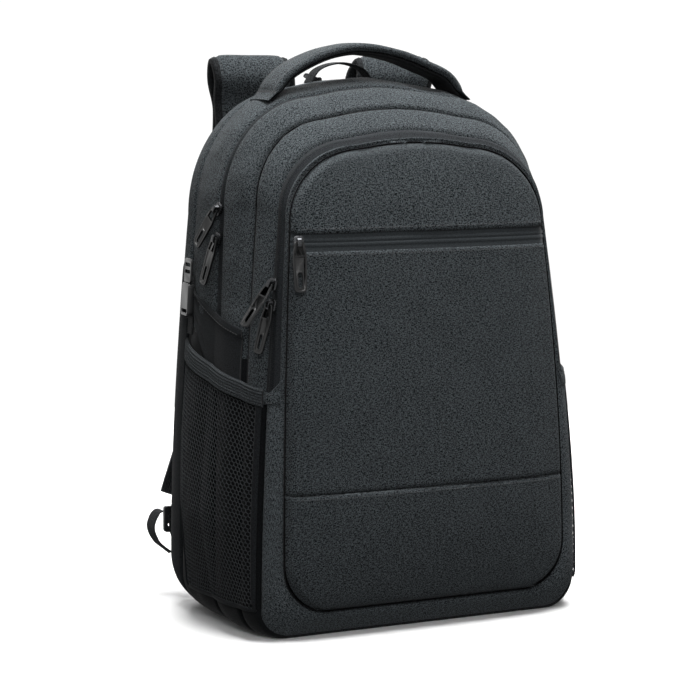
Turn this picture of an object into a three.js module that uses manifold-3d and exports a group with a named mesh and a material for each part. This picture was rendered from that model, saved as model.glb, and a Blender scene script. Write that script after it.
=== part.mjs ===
// A laptop backpack, standing by itself. Millimetres, +Z up, the front faces -Y.
// The origin is on the floor, under the middle of the bag.
import * as THREE from 'three';
import { mergeVertices } from 'three/addons/utils/BufferGeometryUtils.js';
import Module from 'manifold-3d';

const wasm = await Module();
wasm.setup();

// The bag as a whole.
const bodyWidth = 324;
const bodyHeight = 458;
const halfWidth = bodyWidth / 2;

// Depth of each part of the bag, from the wearer's back to the front.
const backFaceY = 95;
const laptopDepth = 32;
const mainRearDepth = 71;
const mainFrontDepth = 46;
const gussetDepth = 23;
const borderDepth = 13;
const laptopSeamY = backFaceY - laptopDepth;
const mainZipY = laptopSeamY - mainRearDepth;
const frontSeamY = mainZipY - mainFrontDepth;
const edgeSeamY = frontSeamY - gussetDepth;
const panelSeamY = edgeSeamY - borderDepth;

// Cloth and the clearances between sewn pieces.
const clothWall = 2.6;
const dividerThickness = 2.4;
const gap = 0.4;
const seamGap = 0.8;
const seamHalf = dividerThickness / 2 + seamGap;

// Zips: the width of each tape, and where the long ones end on the sides.
const mainZipWidth = 9;
const frontZipShare = 0.72;
const frontZipEnd = 209;
const mainZipEnd = 263;
const laptopZipWidth = 8;
const laptopZipEnd = 304;
const zipRecess = 0.8;
const zipThickness = 1.8;

// Front panel with its own straight zip and one cross seam.
const panelDome = 10;
const panelThickness = 4;
const panelZipBottom = 323;
const panelZipHeight = 15;
const panelCrossSeam = 123;
const panelInset = 0.8;

// Back of the bag.
const backPanelThickness = 9;
const backPadThickness = 8;

// Side pockets of net with an elastic edge.
const pocketBulge = 14;
const pocketWall = 1.4;
const pocketBottom = 24;
const pocketTopRear = 241;
const pocketTopFront = 210;
const elasticHeight = 14;
const elasticThickness = 2.4;

// Compression wing, webbing and buckle on each side.
const wingThickness = 1.5;
const sideGap = 1.2;
const webGap = 0.7;
const webWidth = 18;
const webThickness = 1.6;
const buckleLength = 28;
const buckleThickness = 5.4;
const lockLength = 21;
const buckleY = 52;
const buckleBottom = 261;

// Carry handle and hang loop.
const handleSpan = 180;
const handleRise = 30;
const handleWidth = 38;
const handleThickness = 8;
const liningThickness = 3;
const handleY = 35;
const loopSpan = 62;
const loopRise = 15;
const loopWidth = 16;
const loopY = backFaceY - 16;

// Shoulder straps.
const strapWidth = 78;
const strapEndWidth = 52;
const strapThickness = 12;
const adjusterWidth = 32;
const adjusterLength = 24;
const adjusterThickness = 4;
const lowerWebWidth = 25;
const tailWidth = 18;

// Zip sliders and their pulls.
const sliderLength = 11;
const sliderWidth = 8.5;
const sliderBase = 2.6;
const bailWidth = 3.2;
const bailHeight = 4.6;
const pullLength = 42;
const pullWidth = 12;
const pullThickness = 1.8;
const ringWidth = 8;
const ringLength = 15;

// Sections of the body from back to front. Widths are shares of half the body's width, and
// heights are shares of its height. base and shoulder are the half widths low down and where
// the arch starts. lean is how far the top of the section moves back.
const sections = [
  { y: backFaceY, base: 0.985, shoulder: 0.87, top: 1.0, lift: 0.018, archX: 0.56, archZ: 0.233,
    crown: 0.018, corner: 0.24, lean: 0 },
  { y: laptopSeamY, base: 1.0, shoulder: 0.905, top: 1.009, lift: 0, archX: 0.56, archZ: 0.233,
    crown: 0.018, corner: 0.21, lean: 0 },
  { y: mainZipY, base: 1.0, shoulder: 0.925, top: 0.998, lift: 0, archX: 0.57, archZ: 0.215,
    crown: 0.016, corner: 0.19, lean: 0.04 },
  { y: frontSeamY, base: 0.985, shoulder: 0.835, top: 0.96, lift: 0, archX: 0.43, archZ: 0.165,
    crown: 0.018, corner: 0.17, lean: 0.071 },
  { y: edgeSeamY, base: 0.94, shoulder: 0.768, top: 0.918, lift: 0, archX: 0.43, archZ: 0.14,
    crown: 0.014, corner: 0.17, lean: 0.071 },
  { y: panelSeamY, base: 0.83, shoulder: 0.748, top: 0.898, lift: 0.05, archX: 0.43, archZ: 0.138,
    crown: 0.011, corner: 0.26, lean: 0.071 },
];

// How far each band swells between its two seams, from back to front.
const swell = [2, 3, 3, 2, 3];

// Heights at which every ring has a point on its side.
const sideLevels = [
  150, frontZipEnd - 2, frontZipEnd + 2, 236, mainZipEnd - 2, mainZipEnd + 2,
  laptopZipEnd - 2, laptopZipEnd + 2,
];
const cornerSteps = 3;
const archSteps = 5;
const sidePower = 1.7;

// One body section, in millimetres, at a depth between the seams.
function sectionAt(y) {
  let band = 0;
  while (band < sections.length - 2 && y < sections[band + 1].y) band += 1;
  const rear = sections[band];
  const front = sections[band + 1];
  const share = THREE.MathUtils.clamp((rear.y - y) / (rear.y - front.y), 0, 1);
  const blend = (key) => THREE.MathUtils.lerp(rear[key], front[key], share);
  const bulge = swell[band] * Math.sin(Math.PI * share);
  return {
    y,
    base: blend('base') * halfWidth + bulge,
    shoulder: blend('shoulder') * halfWidth + bulge,
    top: blend('top') * bodyHeight + bulge,
    bottom: blend('lift') * bodyHeight,
    archX: blend('archX') * halfWidth,
    archZ: blend('archZ') * bodyHeight,
    crown: blend('crown') * bodyHeight,
    corner: blend('corner') * halfWidth,
    lean: blend('lean') * bodyHeight,
  };
}

// The same section drawn in by a wall.
function drawnIn(section, inset) {
  return {
    ...section,
    base: section.base - inset,
    shoulder: section.shoulder - inset,
    top: section.top - inset,
    bottom: section.bottom + inset,
    corner: Math.max(section.corner - inset, 2),
    archX: section.archX - inset / 2,
    archZ: section.archZ - inset / 2,
  };
}

// Half width of a section at a height.
function widthAt(section, z) {
  const cornerTop = section.bottom + section.corner;
  const archStart = section.top - section.crown - section.archZ;
  if (z < cornerTop) {
    const drop = Math.min(cornerTop - z, section.corner);
    return section.base - section.corner + Math.sqrt(section.corner ** 2 - drop ** 2);
  }
  if (z <= archStart) {
    const share = (z - cornerTop) / (archStart - cornerTop);
    return section.base + (section.shoulder - section.base) * share ** sidePower;
  }
  if (z <= section.top - section.crown) {
    const rise = Math.min((z - archStart) / section.archZ, 1);
    return section.shoulder - section.archX * (1 - Math.sqrt(1 - rise ** 2));
  }
  const overCrown = Math.min((section.top - z) / section.crown, 1);
  return (section.shoulder - section.archX) * Math.sqrt(Math.max(overCrown, 0));
}

// How far back a point of a section lies because the bag leans.
function leanAt(section, z) {
  return section.lean * (z / bodyHeight) ** 2;
}

// Half of a section's outline, from the middle of its bottom to the middle of its top.
function halfOutline(section) {
  const points = [{ x: 0, z: section.bottom }];
  for (let i = 0; i <= cornerSteps; i += 1) {
    const angle = (Math.PI / 2) * (i / cornerSteps);
    points.push({
      x: section.base - section.corner + section.corner * Math.sin(angle),
      z: section.bottom + section.corner * (1 - Math.cos(angle)),
    });
  }
  for (const z of sideLevels) points.push({ x: widthAt(section, z), z });
  const archStart = section.top - section.crown - section.archZ;
  for (let i = 0; i <= archSteps; i += 1) {
    const angle = (Math.PI / 2) * (i / archSteps);
    points.push({
      x: section.shoulder - section.archX * (1 - Math.cos(angle)),
      z: archStart + section.archZ * Math.sin(angle),
    });
  }
  const crownX = section.shoulder - section.archX;
  points.push({ x: crownX * 0.5, z: section.top - section.crown * 0.25 });
  points.push({ x: 0, z: section.top });
  return points;
}

// The whole outline as points in space, with a depth for each point.
function outline(section, depthAt = () => section.y) {
  const right = halfOutline(section);
  const left = right.slice(1, -1).reverse().map((p) => ({ x: -p.x, z: p.z }));
  return [...right, ...left].map(
    (p) => new THREE.Vector3(p.x, depthAt(p.z) + leanAt(section, p.z), p.z),
  );
}

// A point on the right side of the body, held off it by a distance.
function onSide(y, z, off) {
  const section = sectionAt(y);
  return new THREE.Vector3(widthAt(section, z) + off, y + leanAt(section, z), z);
}

// A closed solid between two grids of points, outer[u][k] and inner[u][k].
function solidBetween(outer, inner, loop = false) {
  const columns = outer.length;
  const rows = outer[0].length;
  const positions = [];
  for (const grid of [outer, inner]) {
    for (const column of grid) for (const p of column) positions.push(p.x, p.y, p.z);
  }
  const at = (side, u, k) => (side * columns + (u % columns)) * rows + k;
  const index = [];
  const quad = (a, b, c, d) => index.push(a, b, c, a, c, d);
  const spans = loop ? columns : columns - 1;
  for (let u = 0; u < spans; u += 1) {
    for (let k = 0; k < rows - 1; k += 1) {
      quad(at(0, u, k), at(0, u + 1, k), at(0, u + 1, k + 1), at(0, u, k + 1));
      quad(at(1, u, k), at(1, u, k + 1), at(1, u + 1, k + 1), at(1, u + 1, k));
    }
    quad(at(0, u + 1, 0), at(0, u, 0), at(1, u, 0), at(1, u + 1, 0));
    quad(at(0, u, rows - 1), at(0, u + 1, rows - 1), at(1, u + 1, rows - 1), at(1, u, rows - 1));
  }
  if (!loop) {
    const last = columns - 1;
    for (let k = 0; k < rows - 1; k += 1) {
      quad(at(0, 0, k), at(0, 0, k + 1), at(1, 0, k + 1), at(1, 0, k));
      quad(at(0, last, k + 1), at(0, last, k), at(1, last, k), at(1, last, k + 1));
    }
  }
  const geometry = new THREE.BufferGeometry();
  geometry.setAttribute('position', new THREE.Float32BufferAttribute(positions, 3));
  geometry.setIndex(index);
  return facingOut(geometry);
}

// Turns the faces round where a solid came out inside out.
function facingOut(geometry) {
  const position = geometry.getAttribute('position');
  const index = geometry.getIndex();
  const corner = (n) => new THREE.Vector3().fromBufferAttribute(position, index.getX(n));
  let volume = 0;
  for (let n = 0; n < index.count; n += 3) volume += corner(n).dot(corner(n + 1).cross(corner(n + 2)));
  if (volume < 0) index.array.reverse();
  return geometry;
}

const spread = (from, to, steps) =>
  Array.from({ length: steps + 1 }, (_, i) => THREE.MathUtils.lerp(from, to, i / steps));

// A band of cloth that goes all round the body between two depths. rearAt and frontAt give the
// depth of each edge at a height, so that an edge steps aside for a zip.
function gussetRing(rearAt, frontAt, steps) {
  const ring = (inset) => {
    const rows = spread(0, 1, steps).map((share) => {
      const depthAt = (z) => THREE.MathUtils.lerp(rearAt(z), frontAt(z), share);
      return outline(drawnIn(sectionAt(depthAt(0)), inset), depthAt);
    });
    return rows[0].map((_, u) => rows.map((row) => row[u]));
  };
  return solidBetween(ring(0), ring(clothWall), true);
}

// The arch of a zip between two bands, down to a height on both sides.
function zipArch(rearY, frontY, endZ) {
  const arch = (inset) => {
    const rows = spread(rearY, frontY, 2).map((y) =>
      outline(drawnIn(sectionAt(y), inset), () => y).filter((p) => p.z > endZ));
    return rows[0].map((_, u) => rows.map((row) => row[u]));
  };
  return solidBetween(arch(zipRecess), arch(zipRecess + zipThickness));
}

// Heights of the rows of a plate that fills a section between two heights.
function plateHeights(section, fromZ, toZ) {
  const heights = halfOutline(section).map((p) => p.z).filter((z) => z > fromZ + 1 && z < toZ - 1);
  return [fromZ, ...heights, toZ].filter((z, i, all) => i === 0 || z - all[i - 1] > 0.8);
}

// Where a plate stops, just under the top of its section's crown.
const crownTop = (section) => section.top - section.crown * 0.04;

// A plate with the outline of a section, between two heights. faceAt gives the depth of its
// front at a point.
function plate(section, fromZ, toZ, thickness, faceAt, across = 6) {
  const heights = plateHeights(section, fromZ, toZ);
  const face = (back) => spread(-1, 1, across).map((share) =>
    heights.map((z) => {
      const x = share * widthAt(section, z);
      return new THREE.Vector3(x, faceAt(x, z) + back, z);
    }));
  return solidBetween(face(0), face(thickness));
}

// A flat plate across the whole section, sewn between two bands.
function divider(seamY) {
  const section = drawnIn(sectionAt(seamY), clothWall / 2);
  const faceAt = (x, z) => seamY - dividerThickness / 2 + leanAt(section, z);
  return plate(section, section.bottom, crownTop(section), dividerThickness, faceAt, 2);
}

// A ribbon along a path: across gives the direction of its width, and edge the share of its
// thickness that is left at its two edges.
function ribbon(path, widths, across, thickness, edge = 1, rows = 2) {
  const shares = spread(-1, 1, rows);
  const side = (sign) => path.map((p, i) => {
    const before = path[Math.max(i - 1, 0)];
    const after = path[Math.min(i + 1, path.length - 1)];
    const along = after.clone().sub(before).normalize();
    const widthDirection = across[i].clone().addScaledVector(along, -across[i].dot(along)).normalize();
    const normal = along.clone().cross(widthDirection);
    return shares.map((share) => {
      const half = (thickness / 2) * THREE.MathUtils.lerp(1, edge, share ** 4);
      return p.clone()
        .addScaledVector(widthDirection, (share * widths[i]) / 2)
        .addScaledVector(normal, sign * half);
    });
  });
  return solidBetween(side(1), side(-1));
}

const smoothPath = (points, steps) => new THREE.CatmullRomCurve3(points).getPoints(steps);

// Joins two overlapping solids into one.
function joined(first, second) {
  const solid = (geometry) => {
    const bare = geometry.clone();
    bare.deleteAttribute('normal');
    bare.deleteAttribute('uv');
    const welded = mergeVertices(bare, 1e-4);
    return new wasm.Manifold(new wasm.Mesh({
      numProp: 3,
      vertProperties: welded.getAttribute('position').array,
      triVerts: Uint32Array.from(welded.getIndex().array),
    }));
  };
  const mesh = solid(first).add(solid(second)).getMesh();
  const geometry = new THREE.BufferGeometry();
  geometry.setAttribute('position', new THREE.BufferAttribute(mesh.vertProperties, 3));
  geometry.setIndex(new THREE.BufferAttribute(mesh.triVerts, 1));
  return geometry;
}

// An outline with rounded corners, drawn about its own middle.
function roundedShape(width, height, radius) {
  const shape = new THREE.Shape();
  const x = width / 2 - radius;
  const y = height / 2 - radius;
  shape.absarc(x, y, radius, 0, Math.PI / 2);
  shape.absarc(-x, y, radius, Math.PI / 2, Math.PI);
  shape.absarc(-x, -y, radius, Math.PI, Math.PI * 1.5);
  shape.absarc(x, -y, radius, Math.PI * 1.5, Math.PI * 2);
  return shape;
}

// A straight slot with cut corners, for webbing or a finger.
function slotPath(width, height, x, y) {
  const cut = Math.min(width, height) * 0.3;
  const right = x + width / 2;
  const top = y + height / 2;
  const left = x - width / 2;
  const bottom = y - height / 2;
  return new THREE.Path([
    new THREE.Vector2(right, bottom + cut), new THREE.Vector2(right, top - cut),
    new THREE.Vector2(right - cut, top), new THREE.Vector2(left + cut, top),
    new THREE.Vector2(left, top - cut), new THREE.Vector2(left, bottom + cut),
    new THREE.Vector2(left + cut, bottom), new THREE.Vector2(right - cut, bottom),
  ]);
}

const flatPart = (shape, depth, curveSegments = 3) =>
  new THREE.ExtrudeGeometry(shape, { depth, bevelEnabled: false, curveSegments });

// Looks of the materials, near enough for a plain view.
const finishes = {
  heather: new THREE.MeshStandardMaterial({ color: 0x3b4043, roughness: 0.95, metalness: 0 }),
  dark_cloth: new THREE.MeshStandardMaterial({ color: 0x24282a, roughness: 0.95, metalness: 0 }),
  lining: new THREE.MeshStandardMaterial({ color: 0x121314, roughness: 0.9, metalness: 0 }),
  net: new THREE.MeshStandardMaterial({ color: 0x1a1c1e, roughness: 0.9, metalness: 0 }),
  webbing: new THREE.MeshStandardMaterial({ color: 0x17181a, roughness: 0.8, metalness: 0 }),
  zip_tape: new THREE.MeshStandardMaterial({ color: 0x1c1e20, roughness: 0.6, metalness: 0 }),
  plastic: new THREE.MeshStandardMaterial({ color: 0x16171a, roughness: 0.45, metalness: 0 }),
  metal: new THREE.MeshStandardMaterial({ color: 0x3a3b3e, roughness: 0.35, metalness: 0.9 }),
};

const backpack = new THREE.Group();

function addPiece(parent, name, geometry, finish) {
  const mesh = new THREE.Mesh(geometry, finishes[finish]);
  mesh.name = name;
  parent.add(mesh);
  return mesh;
}

// Compartments: bands of cloth all round the bag, with plates of cloth between them.
const mainZipHalf = mainZipWidth / 2;
const mainZipStep = (z) => (z > mainZipEnd ? mainZipHalf : gap / 2);
const frontZipWidth = borderDepth * frontZipShare;
const laptopRearY = (z) => backFaceY - gap - (z > laptopZipEnd ? laptopZipWidth : 0);
const borderRearY = (z) => edgeSeamY - gap / 2 - (z > frontZipEnd ? frontZipWidth : 0);

function addCompartments() {
  addPiece(backpack, 'laptop_gusset', gussetRing(
    laptopRearY, () => laptopSeamY + seamHalf, 2), 'dark_cloth');
  addPiece(backpack, 'laptop_zip', zipArch(
    backFaceY - gap, backFaceY - laptopZipWidth, laptopZipEnd), 'zip_tape');
  addPiece(backpack, 'laptop_divider', divider(laptopSeamY), 'lining');
  addPiece(backpack, 'main_rear_gusset', gussetRing(
    () => laptopSeamY - seamHalf, (z) => mainZipY + mainZipStep(z), 3), 'heather');
  addPiece(backpack, 'main_zip', zipArch(
    mainZipY + mainZipHalf - gap, mainZipY - mainZipHalf + gap, mainZipEnd), 'zip_tape');
  addPiece(backpack, 'main_front_gusset', gussetRing(
    (z) => mainZipY - mainZipStep(z), () => frontSeamY + seamHalf, 3), 'heather');
  addPiece(backpack, 'front_divider', divider(frontSeamY), 'lining');
  addPiece(backpack, 'front_gusset', gussetRing(
    () => frontSeamY - seamHalf, () => edgeSeamY + gap / 2, 2), 'heather');
  addPiece(backpack, 'front_zip', zipArch(
    edgeSeamY - gap / 2, edgeSeamY - frontZipWidth + gap / 2, frontZipEnd), 'zip_tape');
  addPiece(backpack, 'front_border', gussetRing(
    borderRearY, () => panelSeamY + gap / 2, 3), 'heather');
}

// Front panel: three domed pieces of cloth, with the straight zip between the upper two.
const panelSection = drawnIn(sectionAt(panelSeamY), panelInset);
const panelTop = crownTop(panelSection);

function panelFace(x, z) {
  const middle = (panelSection.bottom + panelTop) / 2;
  const up = (z - middle) / (panelTop - middle);
  const out = x / widthAt(panelSection, z);
  const dome = panelDome * (1 - out ** 4) * (1 - up ** 6);
  return panelSeamY - gap - panelThickness - dome + leanAt(panelSection, z);
}

function addFrontPanel() {
  const zipTop = panelZipBottom + panelZipHeight;
  const half = gap / 2;
  const pieces = [
    { name: 'panel_base', from: panelSection.bottom, to: panelCrossSeam - half },
    { name: 'panel_lower', from: panelCrossSeam + half, to: panelZipBottom - half },
    { name: 'panel_upper', from: zipTop + half, to: panelTop },
  ];
  for (const { name, from, to } of pieces) {
    addPiece(backpack, name, plate(panelSection, from, to, panelThickness, panelFace), 'heather');
  }
  const zipFace = (x, z) => panelFace(x, z) + zipRecess;
  addPiece(backpack, 'panel_zip', plate(
    panelSection, panelZipBottom + half, zipTop - half, zipThickness, zipFace), 'zip_tape');
}

// Back: a padded plate, two long pads and a low one.
const padY = backFaceY + backPanelThickness + gap;

function padOn(width, height, middleX, middleZ) {
  const pad = (back) => spread(-1, 1, 4).map((across) => spread(-1, 1, 6).map((up) => {
    const crown = back * backPadThickness * (1 - 0.7 * across ** 4) * (1 - 0.7 * up ** 6);
    const round = 1 - 0.12 * up ** 8;
    const x = middleX + (across * round * width) / 2;
    return new THREE.Vector3(x, padY + crown, middleZ + (up * height) / 2);
  }));
  return solidBetween(pad(1), pad(0));
}

function addBack() {
  const section = drawnIn(sectionAt(backFaceY), 3);
  const face = (x, z) => backFaceY;
  addPiece(backpack, 'back_panel', plate(
    section, section.bottom, crownTop(section), backPanelThickness, face, 4), 'dark_cloth');
  addPiece(backpack, 'back_pad_left', padOn(98, 250, -62, 273), 'net');
  addPiece(backpack, 'back_pad_right', padOn(98, 250, 62, 273), 'net');
  addPiece(backpack, 'lumbar_pad', padOn(222, 86, 0, 92), 'net');
}

// Net pocket on the right side, which the left one mirrors. Its back edge runs forward towards
// the bottom.
const pocketRearTop = laptopSeamY - 3;
const pocketRearBottom = laptopSeamY - 21;
const pocketFront = edgeSeamY + 1;

function pocketPoint(along, up, off) {
  const topZ = THREE.MathUtils.lerp(pocketTopRear, pocketTopFront, along);
  const z = THREE.MathUtils.lerp(pocketBottom, topZ, up);
  const rear = THREE.MathUtils.lerp(pocketRearBottom, pocketRearTop, Math.min(up * 1.6, 1));
  const y = THREE.MathUtils.lerp(rear, pocketFront, along);
  const belly = Math.sin(Math.PI * along) * Math.min(1, 0.12 + 2.6 * up) * (1 - 0.75 * up ** 2);
  return onSide(y, z, sideGap + off + pocketBulge * belly);
}

function addPocket(side, suffix) {
  const elasticShare = elasticHeight / (pocketTopFront - pocketBottom);
  const sheet = (from, to, rows, off) => spread(0, 1, 10).map((along) =>
    spread(from, to, rows).map((up) => pocketPoint(along, up, off)));
  const netTop = 1 - elasticShare;
  addPiece(side, `net_pocket_${suffix}`, solidBetween(
    sheet(0, netTop, 7, pocketWall), sheet(0, netTop, 7, 0)), 'net');
  const edge = netTop + gap / (pocketTopFront - pocketBottom);
  const elasticOff = (pocketWall - elasticThickness) / 2;
  addPiece(side, `pocket_elastic_${suffix}`, solidBetween(
    sheet(edge, 1, 1, elasticOff + elasticThickness), sheet(edge, 1, 1, elasticOff)), 'webbing');
}

// Compression wing: a stiff flap sewn to the front seam, which narrows to the webbing.
const wingFrontY = frontSeamY + 3;
const wingRearY = 39;
const wingTopRear = 284;
const wingTopFront = 257;
const wingTipHeight = 24;
const wingBottom = 204;

// A thin piece that lies on the side of the bag: pointAt gives its depth and height at a share
// along it and a share across it.
function sidePatch(pointAt, along, across, off, thickness) {
  const face = (lift) => spread(0, 1, along).map((u) => spread(0, 1, across).map((v) => {
    const { y, z } = pointAt(u, v);
    return onSide(y, z, lift);
  }));
  return solidBetween(face(off + thickness), face(off));
}

function addWing(side, suffix) {
  const wing = (u, v) => {
    const top = THREE.MathUtils.lerp(wingTopRear, wingTopFront, u);
    const bottom = THREE.MathUtils.lerp(wingTopRear - wingTipHeight, wingBottom, Math.min(1, u / 0.55));
    return { y: THREE.MathUtils.lerp(wingRearY, wingFrontY, u), z: THREE.MathUtils.lerp(bottom, top, v) };
  };
  addPiece(side, `side_wing_${suffix}`, sidePatch(wing, 10, 3, sideGap, wingThickness), 'dark_cloth');
}

// The buckle stands upright on the laptop band. Its webbing is sewn on below it, and the wing's
// webbing comes into the lock above.
function addBuckle(side, suffix) {
  const anchor = (u, v) => ({
    y: buckleY + (v - 0.5) * webWidth,
    z: THREE.MathUtils.lerp(buckleBottom - 16, buckleBottom + 5, u),
  });
  addPiece(side, `buckle_webbing_${suffix}`, sidePatch(anchor, 3, 4, webGap, webThickness), 'webbing');

  const foot = onSide(buckleY, buckleBottom, 0);
  const head = onSide(buckleY, buckleBottom + buckleLength + lockLength, 0);
  const holder = new THREE.Group();
  const up = head.clone().sub(foot).normalize();
  const rearward = onSide(buckleY + webWidth / 2, buckleBottom, 0)
    .sub(onSide(buckleY - webWidth / 2, buckleBottom, 0));
  rearward.addScaledVector(up, -rearward.dot(up)).normalize();
  holder.matrixAutoUpdate = false;
  holder.matrix.makeBasis(rearward, up, rearward.clone().cross(up))
    .setPosition(foot.clone().add(new THREE.Vector3(webGap + webThickness + gap, 0, 0)));
  side.add(holder);

  const body = roundedShape(webWidth + 5, buckleLength, 4);
  body.holes.push(slotPath(webWidth, 3, 0, -buckleLength / 2 + 4));
  const buckle = addPiece(holder, `side_buckle_${suffix}`, flatPart(body, buckleThickness), 'plastic');
  buckle.position.y = buckleLength / 2;

  const frame = roundedShape(webWidth + 4, lockLength - gap, 3);
  frame.holes.push(slotPath(webWidth, 3.2, 0, -1), slotPath(webWidth, 3.2, 0, 5));
  const lock = addPiece(holder, `side_lock_${suffix}`, flatPart(frame, 2), 'plastic');
  lock.position.set(0, buckleLength + gap + (lockLength - gap) / 2, 2);

  const lockFoot = buckleBottom + buckleLength;
  const wingWeb = (u, v) => ({
    y: THREE.MathUtils.lerp(wingRearY + gap, buckleY + 4, u) + (v - 0.5) * 8 * u,
    z: THREE.MathUtils.lerp(wingTopRear - wingTipHeight * 0.9, lockFoot - 8, u)
      + v * THREE.MathUtils.lerp(wingTipHeight * 0.85, webWidth, u),
  });
  addPiece(side, `wing_webbing_${suffix}`, sidePatch(wingWeb, 3, 2, webGap, webThickness), 'webbing');
}

// A short cross band of webbing closes the bottom of the front zip.
function addZipStop(side, suffix) {
  const stop = (u, v) => ({
    y: THREE.MathUtils.lerp(edgeSeamY - 1, panelSeamY + 1.5, u),
    z: frontZipEnd - 11 + v * 10,
  });
  addPiece(side, `zip_stop_${suffix}`, sidePatch(stop, 6, 1, 1.6, 1.4), 'dark_cloth');
}

// Shoulder strap, from the back panel over its fold and down behind the bag.
const strapTopY = backFaceY + backPanelThickness + gap + strapThickness / 2;

function addStrap(side, suffix) {
  const hangY = strapTopY + 17;
  const middle = smoothPath([
    new THREE.Vector3(66, strapTopY + 1, 416),
    new THREE.Vector3(68, strapTopY + 1, 444),
    new THREE.Vector3(71, strapTopY - 4, 466),
    new THREE.Vector3(72, strapTopY + 4, 479),
    new THREE.Vector3(70, hangY - 1, 468),
    new THREE.Vector3(65, hangY + 2, 438),
    new THREE.Vector3(74, hangY, 358),
    new THREE.Vector3(87, hangY + 2, 248),
    new THREE.Vector3(104, hangY, 158),
    new THREE.Vector3(132, hangY - 3, 86),
  ], 22);
  const widths = middle.map((p, i) =>
    THREE.MathUtils.lerp(strapWidth, strapEndWidth, (i / (middle.length - 1)) ** 2));
  addPiece(side, `shoulder_strap_${suffix}`, ribbon(
    middle, widths, middle.map(() => new THREE.Vector3(1, 0, 0)), strapThickness, 0.45, 4), 'dark_cloth');

  const end = middle[middle.length - 1];
  const plateShape = roundedShape(adjusterWidth, adjusterLength, 3);
  plateShape.holes.push(slotPath(lowerWebWidth, 3.6, 0, -5), slotPath(lowerWebWidth, 3.6, 0, 4));
  const adjuster = addPiece(side, `strap_adjuster_${suffix}`, flatPart(plateShape, adjusterThickness), 'plastic');
  adjuster.rotation.set(Math.PI / 2, 0, 0);
  const adjusterZ = end.z - 4 - adjusterLength / 2;
  adjuster.position.set(end.x + 6, end.y + adjusterThickness / 2, adjusterZ);

  const webY = end.y - adjusterThickness / 2 - webThickness;
  const tabY = backFaceY + backPanelThickness + gap + 1.6;
  const webPath = smoothPath([
    new THREE.Vector3(end.x + 6, webY, adjusterZ + 6),
    new THREE.Vector3(end.x + 6, webY - 1, adjusterZ - 8),
    new THREE.Vector3(end.x + 4, tabY + 10, 50),
    new THREE.Vector3(end.x + 4, tabY + 8.4, 44),
  ], 6);
  addPiece(side, `lower_webbing_${suffix}`, ribbon(
    webPath, webPath.map(() => lowerWebWidth), webPath.map(() => new THREE.Vector3(1, 0, 0)),
    webThickness), 'webbing');

  const tailY = end.y + adjusterThickness / 2 + 1.6;
  const tailStops = [
    [6, 0.4, -4], [11, 8, 2], [21, 13, 4], [28, 12, -8], [25, 7, -21], [14, 1, -32],
  ];
  const tailPath = smoothPath(
    tailStops.map(([x, y, z]) => new THREE.Vector3(end.x + x, tailY + y, adjusterZ + z)), 12);
  const tailAcross = tailPath.map((p, i) => {
    const turn = (Math.PI / 2) * THREE.MathUtils.clamp((i - 1) / 4, 0, 1);
    return new THREE.Vector3(Math.cos(turn), Math.sin(turn), 0);
  });
  addPiece(side, `web_tail_${suffix}`, ribbon(
    tailPath, tailPath.map(() => tailWidth), tailAcross, webThickness), 'webbing');

  const tabPath = [
    new THREE.Vector3(end.x + 4, tabY + 5, 50),
    new THREE.Vector3(end.x, tabY + 2.6, 40),
    new THREE.Vector3(end.x - 18, tabY, 27),
  ];
  addPiece(side, `strap_tab_${suffix}`, ribbon(
    tabPath, [lowerWebWidth, lowerWebWidth + 8, lowerWebWidth + 14],
    tabPath.map(() => new THREE.Vector3(0.6, 0, -0.8)), 2.4), 'dark_cloth');
}

// Carry handle: a padded arch with a dark lining under it, across the top of the rear band.
function addHandle() {
  const half = handleSpan / 2;
  const section = sectionAt(handleY);
  const footZ = (x) => {
    const rise = (section.shoulder - x) / section.archX;
    const drop = Math.sqrt(1 - (1 - Math.min(rise, 1)) ** 2);
    return section.top - section.crown - section.archZ * (1 - drop);
  };
  const foot = footZ(half) + 3.8;
  const shape = (sink) => {
    const points = [];
    for (const side of [-1, 1]) {
      const sag = side > 0 ? 3 : 0;
      const right = [
        new THREE.Vector3(half, 0, foot),
        new THREE.Vector3(half * 0.89 - sink, 0, foot + handleRise * 0.42 - sink * 0.4),
        new THREE.Vector3(half * 0.67 - sink * 0.7, 0, foot + handleRise * 0.84 - sink * 0.8 - sag),
        new THREE.Vector3(half * 0.36, 0, foot + handleRise * 1.17 - sink - sag),
      ].map((p) => new THREE.Vector3(side * p.x, handleY, p.z));
      if (side < 0) points.push(...right, new THREE.Vector3(-4, handleY, foot + handleRise * 1.27 - sink));
      else points.push(...right.reverse());
    }
    points[0].x += sink;
    points[points.length - 1].x -= sink;
    return smoothPath(points, 18);
  };
  const across = (path) => path.map(() => new THREE.Vector3(0, 1, 0));
  const outer = shape(0);
  const inner = shape((handleThickness + liningThickness) / 2 + 4 * gap);
  addPiece(backpack, 'carry_handle', ribbon(
    outer, outer.map(() => handleWidth), across(outer), handleThickness, 0.5, 4), 'heather');
  addPiece(backpack, 'handle_lining', ribbon(
    inner, inner.map(() => handleWidth - 8), across(inner), liningThickness), 'lining');
}

function addHangLoop() {
  const section = sectionAt(loopY);
  const foot = section.top + 0.6;
  const points = [
    new THREE.Vector3(-loopSpan / 2, loopY, foot - 2.4),
    new THREE.Vector3(-loopSpan * 0.36, loopY, foot + loopRise * 0.6),
    new THREE.Vector3(0, loopY, foot + loopRise),
    new THREE.Vector3(loopSpan * 0.36, loopY, foot + loopRise * 0.6),
    new THREE.Vector3(loopSpan / 2, loopY, foot - 2.4),
  ];
  const path = smoothPath(points, 12);
  addPiece(backpack, 'hang_loop', ribbon(
    path, path.map(() => loopWidth), path.map(() => new THREE.Vector3(0, 1, 0)), webThickness), 'webbing');
}

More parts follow.
